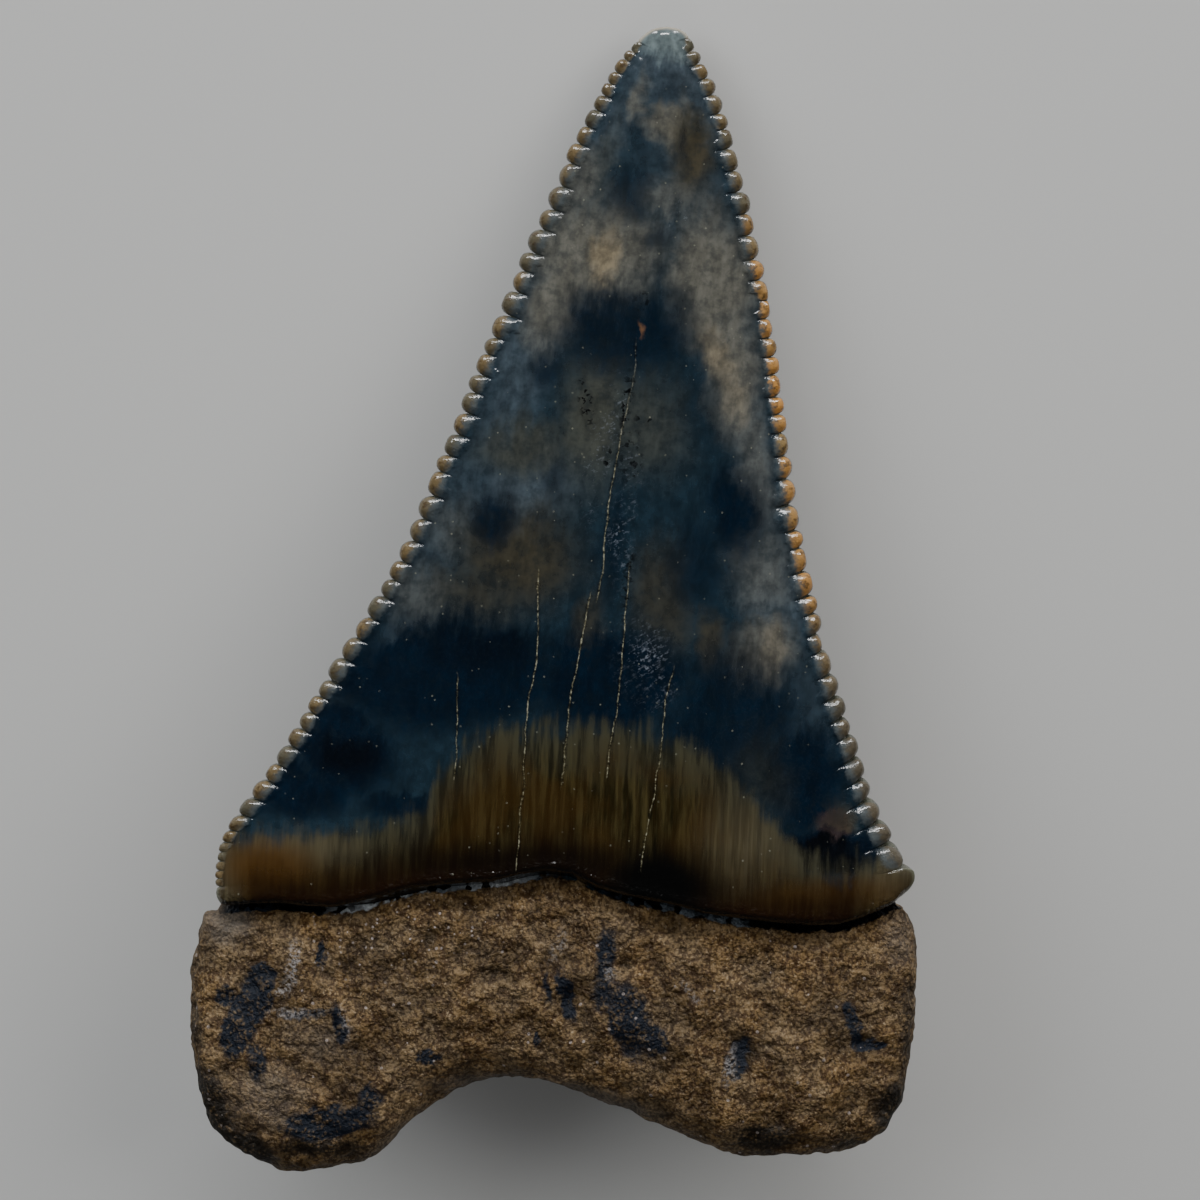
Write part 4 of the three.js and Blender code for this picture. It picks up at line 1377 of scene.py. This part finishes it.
# %% Paint the root's stains
BLUE_BLACK = [
    (-14.3, 7.9, 0.85, 2.2, -24, 0.4, 1.0), (-15.4, 8.6, 0.45, 0.6, 0, 0.5, 0.8),
    (-13.6, 9.7, 0.5, 0.5, 0, 0.5, 0.9), (-13.9, 5.6, 0.5, 1.1, 0, 0.6, 0.6),
    (-11.5, 7.9, 1.6, 0.25, 4, 0.6, 0.6), (-10.0, 7.3, 0.32, 0.95, 12, 0.6, 0.95),
    (-10.8, 10.7, 0.18, 0.6, -10, 0.7, 0.9), (-10.6, 2.7, 2.3, 0.75, 8, 0.5, 0.9),
    (-8.6, 3.9, 0.6, 0.8, -30, 0.6, 0.7), (-5.9, 5.8, 0.6, 0.4, 0, 0.5, 0.9),
    (2.4, 10.4, 0.5, 1.4, -5, 0.6, 0.7), (0.6, 8.7, 0.35, 1.2, 15, 0.6, 0.9),
    (-0.3, 9.0, 0.2, 0.9, 0, 0.7, 0.6), (3.5, 7.6, 1.0, 1.9, 14, 0.6, 0.75),
    (4.7, 6.6, 0.7, 0.7, 0, 0.6, 0.85), (2.4, 8.9, 0.6, 1.2, 0, 0.7, 0.6),
    (8.7, 5.8, 0.5, 1.05, -12, 0.6, 0.85), (14.0, 7.4, 0.35, 0.95, 18, 0.5, 0.9),
    (14.7, 6.3, 0.8, 0.33, 0, 0.4, 1.0), (-0.8, 6.5, 0.25, 0.35, 0, 0.5, 0.8),
]
NEAR_BLACK = [
    (-16.4, 3.2, 1.3, 2.4, 20, 0.7, 0.8), (-14.6, 1.3, 1.8, 0.9, -30, 0.7, 0.8),
    (-11.0, 1.5, 2.2, 0.6, 0, 0.7, 0.6), (9.8, 1.9, 1.7, 0.8, 0, 0.7, 0.7),
    (15.9, 3.2, 0.9, 1.6, -15, 0.7, 0.7), (16.6, 7.0, 0.5, 2.2, 0, 0.8, 0.5),
    (-16.9, 6.8, 0.45, 1.6, 0, 0.8, 0.5), (13.6, 1.6, 1.6, 0.5, 0, 0.8, 0.5),
]
GREY_BONE = [
    (-13.3, 3.9, 1.7, 1.4, 0, 0.7, 0.55), (-15.3, 12.2, 1.2, 0.9, 30, 0.6, 0.8),
    (-3.0, 4.4, 3.2, 0.35, 0, 0.8, 0.6), (2.6, 3.6, 2.6, 0.4, -20, 0.8, 0.6),
    (16.2, 11.4, 0.8, 1.3, 0, 0.7, 0.5), (-11.0, 6.6, 1.4, 1.0, 0, 0.8, 0.3),
    (-7.6, 1.7, 1.6, 0.4, 45, 0.8, 0.5),
]
PALE_MARKS = [
    (-12.2, 10.1, 0.32, 1.0, -12, 0.6, 0.9), (-12.6, 9.0, 0.3, 0.4, 0, 0.6, 0.8),
    (-12.0, 7.9, 1.2, 0.16, 4, 0.7, 0.6), (-9.7, 7.4, 0.16, 0.8, 12, 0.7, 0.5),
    (8.3, 5.4, 0.25, 0.8, -10, 0.7, 0.6), (6.4, 8.9, 0.2, 0.6, 30, 0.7, 0.5),
    (2.6, 9.8, 0.3, 0.4, 0, 0.7, 0.5), (0.2, 11.0, 0.25, 0.7, -20, 0.8, 0.4),
]
INK, EDGE_SHADE, SCRAPE = (0.006, 0.009, 0.016), (0.012, 0.009, 0.006), (0.27, 0.25, 0.24)
ASH_GREY_AND_SHEEN = ((0.04, 0.036, 0.03), (0.19, 0.165, 0.14))


def root_stains(r, place, grain, front, colour):
    frayed = stir(r, place, [(1.0, 0.38), (0.32, 0.22)])
    broken = r.span(grain, 0.46, 0.7, 1.0, 0.45)
    # Painted shade: the lobes' rounded lower edges and sides, nearly black.
    near_black = r.times(r.span(stain(r, frayed, NEAR_BLACK), 0.1, 0.7), broken)
    colour = r.blend(near_black, colour, EDGE_SHADE)
    # Grey patches, partly painted sheen along the root's rounded edges.
    grey_bone = r.times(stain(r, frayed, GREY_BONE), 0.8)
    colour = r.blend(grey_bone, colour, r.blend(grain, *ASH_GREY_AND_SHEEN))
    solid = r.span(stain(r, frayed, BLUE_BLACK), 0.16, 0.65)
    stained = r.times(solid, r.times(broken, front))
    colour = r.blend(stained, colour, INK)
    chalk = r.noise(place, 5.0, 2.0, 0.7)
    marks = r.times(stain(r, frayed, PALE_MARKS), r.span(chalk, 0.44, 0.58))
    return r.blend(r.times(marks, front), colour, SCRAPE)


# %% [markdown]
# ## Glints, and the gap under the enamel
# Tiny crystals on the root get painted glints: pale specks, most of them in one band below the
# enamel. Under the enamel's lip lies a gap, painted dark as the lip's shadow, with glossy flakes
# of blue-black mineral. It is part of the root's skin, so it is painted here by the distance below
# the enamel's border. The flakes' colours change from left to right, so they are the stops of a
# colour ramp read along x. The pale stops are partly painted highlights on the glossy flakes.

# %% Paint the glints and the gap
GLINT_ZONE = [(-6.6, 11.9, 3.8, 1.3, 4, 0.7, 1.0), (-8.4, 10.4, 3.0, 1.0, 0, 0.8, 0.5)]
BAND_GLINTS = {"Per mm": 3.4, "Size": 0.22, "Share": 0.4}
STRAY_GLINTS = {"Per mm": 1.6, "Size": 0.13, "Share": 0.3}
GLINT, GAP_SHADOW = (0.34, 0.29, 0.27), (0.0015, 0.0015, 0.002)
TEAL, STEEL, SNOW_HIGHLIGHT = (0.012, 0.03, 0.04), (0.1, 0.12, 0.14), (0.4, 0.43, 0.45)
FLAKES_TO = 12.0
FLAKES = [
    (-16.0, (0.002, 0.003, 0.005)), (-14.3, (0.02, 0.03, 0.046)), (-13.0, (0.002, 0.002, 0.003)),
    (-10.8, (0.002, 0.003, 0.004)), (-9.6, SNOW_HIGHLIGHT), (-7.4, SNOW_HIGHLIGHT), (-5.2, STEEL), (-2.6, SNOW_HIGHLIGHT),
    (-0.6, STEEL), (0.8, TEAL), (2.6, (0.008, 0.014, 0.022)), (6.2, STEEL), (8.6, STEEL),
    (9.6, GAP_SHADOW),
]


def glint_mask(r, place, front):
    # Painted glints: pale specks for light caught by tiny crystals.
    glints = r.group(pale_specks, {"Place": place, **BAND_GLINTS})
    glints = r.times(r.times(glints, stain(r, place, GLINT_ZONE)), front)
    everywhere = r.group(pale_specks, {"Place": place, **STRAY_GLINTS})
    return r.math("MAXIMUM", glints, r.times(everywhere, 0.6))


def flake_ramp(r, x):
    """The colours of the flakes from left to right under the enamel's lip."""
    low = FLAKES[0][0]
    ramp = r.add("ShaderNodeValToRGB", {"Fac": r.span(x, low, FLAKES_TO)})
    stops = ramp.node.color_ramp.elements
    for number, (start, tint) in enumerate(FLAKES):
        share = float(rise(start, low, FLAKES_TO))
        stop = stops[number] if number < 2 else stops.new(share)
        stop.position, stop.color = share, opaque(tint)
    return ramp


def gap_colours(r, place, x, z, above, colour):
    """The gap under the lip, painted dark as its shadow, with its flakes; hands back its mask too."""
    ragged_line = r.times(r.noise(place, 2.2, 3.0), 0.5, -0.25)
    below = r.math("ADD", r.times(above, -1.0), ragged_line)
    # Painted shadow in the groove under the lip's overhang.
    gap = r.times(r.span(below, 0.32, 0.42, 1.0, 0.0), r.span(x, -15.9, -15.2))
    gap = r.times(gap, r.span(z, -3.0, -1.8))
    tint = flake_ramp(r, x)
    # The pale flakes are partly a pale band of enamel and partly painted highlights on glossy flakes.
    lit = r.add("ShaderNodeSeparateColor", {"Color": r.cells(place, 3.0, out="Color")}, out="Green")
    flake = r.times(r.span(lit, 0.35, 0.6), r.span(below, -0.1, 0.12))
    flake = r.times(flake, gap)
    return r.blend(flake, r.blend(gap, colour, GAP_SHADOW), tint), gap


# %% [markdown]
# ## The finish of the root
# Bone is rough, but crystals and the gap's flakes are glossy, so their masks lower the roughness.
# The bump adds the grain to knobs of about a millimetre, a size between the carved relief and
# the grain.

# %% Put the root's finish together
def bone_finish():
    bone.use_nodes = True
    r = Recipe(bone.node_tree)
    place = r.group(tooth_axes, {})
    split = r.add("ShaderNodeSeparateXYZ", {"Vector": place})
    x, y, z = split.node.outputs
    lumps, above = r.mask("lumps"), r.mask("above_border")
    grain = bone_grain(r, place)
    colour = bone_colours(r, place, grain, lumps)
    front = r.span(z, -5.0, -2.5)
    colour = root_stains(r, place, grain, front, colour)
    glints = glint_mask(r, place, front)
    colour, gap = gap_colours(r, place, x, z, above, r.blend(glints, colour, GLINT))
    rough = r.span(grain, 0.3, 0.7, 0.82, 0.66)
    rough = r.times(r.math("MAXIMUM", glints, gap), -0.42, rough)
    knobs = r.times(r.noise(place, 0.85, 3.0, 0.55), 0.75)
    finish(bone, colour, rough, r.times(grain, 0.21, knobs))


bone_finish()
print("bone nodes:", len(bone.node_tree.nodes))

# %% [markdown]
# ## Floor, camera and light
# The camera looks straight at the outer face, as the photo does, through a long lens that keeps
# the outline true. The enamel is dark and glossy, so a light near the camera would wash it out.
# All lights stand well to the side: a strong narrow one beyond the tip draws the streak on every
# bead, and large weak ones fill the rest.

# %% Floor and camera
PHOTO_SIZE = 1200
PIXEL = 0.046753 * MM
PHOTO_CENTRE = (2.174, 27.16, -0.5)
LENS, SENSOR = 100.0, 36.0
BLADE_NORMAL = Vector((0, math.sin(TILT), math.cos(TILT)))

bpy.ops.mesh.primitive_grid_add(x_subdivisions=4, y_subdivisions=4, size=3.0)
floor = bpy.context.object
floor.name = "floor"
floor_material = bpy.data.materials.new("floor")
floor.data.materials.append(floor_material)
floor_material.use_nodes = True
shader = floor_material.node_tree.nodes["Principled BSDF"]
shader.inputs["Base Color"].default_value = (0.6, 0.6, 0.59, 1)
shader.inputs["Roughness"].default_value = 0.9
shader.inputs["Specular IOR Level"].default_value = 0.2

camera_data = bpy.data.cameras.new("camera")
camera_data.lens = LENS
camera_data.sensor_width = SENSOR
camera_data.clip_start = 0.01
camera = bpy.data.objects.new("camera", camera_data)
bpy.context.scene.collection.objects.link(camera)
camera.rotation_euler = Euler((-TILT, 0, 0))
distance = PHOTO_SIZE * PIXEL * LENS / SENSOR
camera.location = Vector(lay_down([PHOTO_CENTRE])[0]) + BLADE_NORMAL * distance
bpy.context.scene.camera = camera
print("camera distance in mm:", round(distance / MM, 1))


# %% Lights
def softbox(name, turn, off_axis, away, size, power, colour=(1, 1, 1), shines=True):
    """A rectangular light, turned from the tip round the camera's axis and leaning off it."""
    onward = Vector((0, math.cos(TILT), -math.sin(TILT)))
    sideways = Vector((1, 0, 0))
    lean, round_axis = math.radians(off_axis), math.radians(turn)
    flat = onward * math.cos(round_axis) + sideways * math.sin(round_axis)
    way = BLADE_NORMAL * math.cos(lean) + flat * math.sin(lean)
    data = bpy.data.lights.new(name, "AREA")
    data.shape = "RECTANGLE"
    data.size, data.size_y = size
    data.energy = power
    data.color = colour
    light = bpy.data.objects.new(name, data)
    light.visible_glossy = shines
    light.location = way * away
    light.rotation_euler = (-way).to_track_quat("-Z", "Y").to_euler()
    bpy.context.scene.collection.objects.link(light)


softbox("key", turn=0, off_axis=58, away=0.45, size=(0.26, 0.07), power=1.8)
FILL = {"off_axis": 50, "away": 0.45, "size": (0.4, 0.4), "power": 1.2, "shines": False}
softbox("left_fill", turn=-60, colour=(0.95, 0.98, 1.0), **FILL)
softbox("right_fill", turn=60, colour=(1.0, 0.98, 0.95), **FILL)
softbox("low_fill", turn=180, off_axis=55, away=0.5, size=(0.4, 0.2), power=0.25, shines=False)
world = bpy.data.worlds.new("studio")
bpy.context.scene.world = world
world.use_nodes = True
world.node_tree.nodes["Background"].inputs["Color"].default_value = (0.75, 0.8, 0.85, 1)
world.node_tree.nodes["Background"].inputs["Strength"].default_value = 0.04
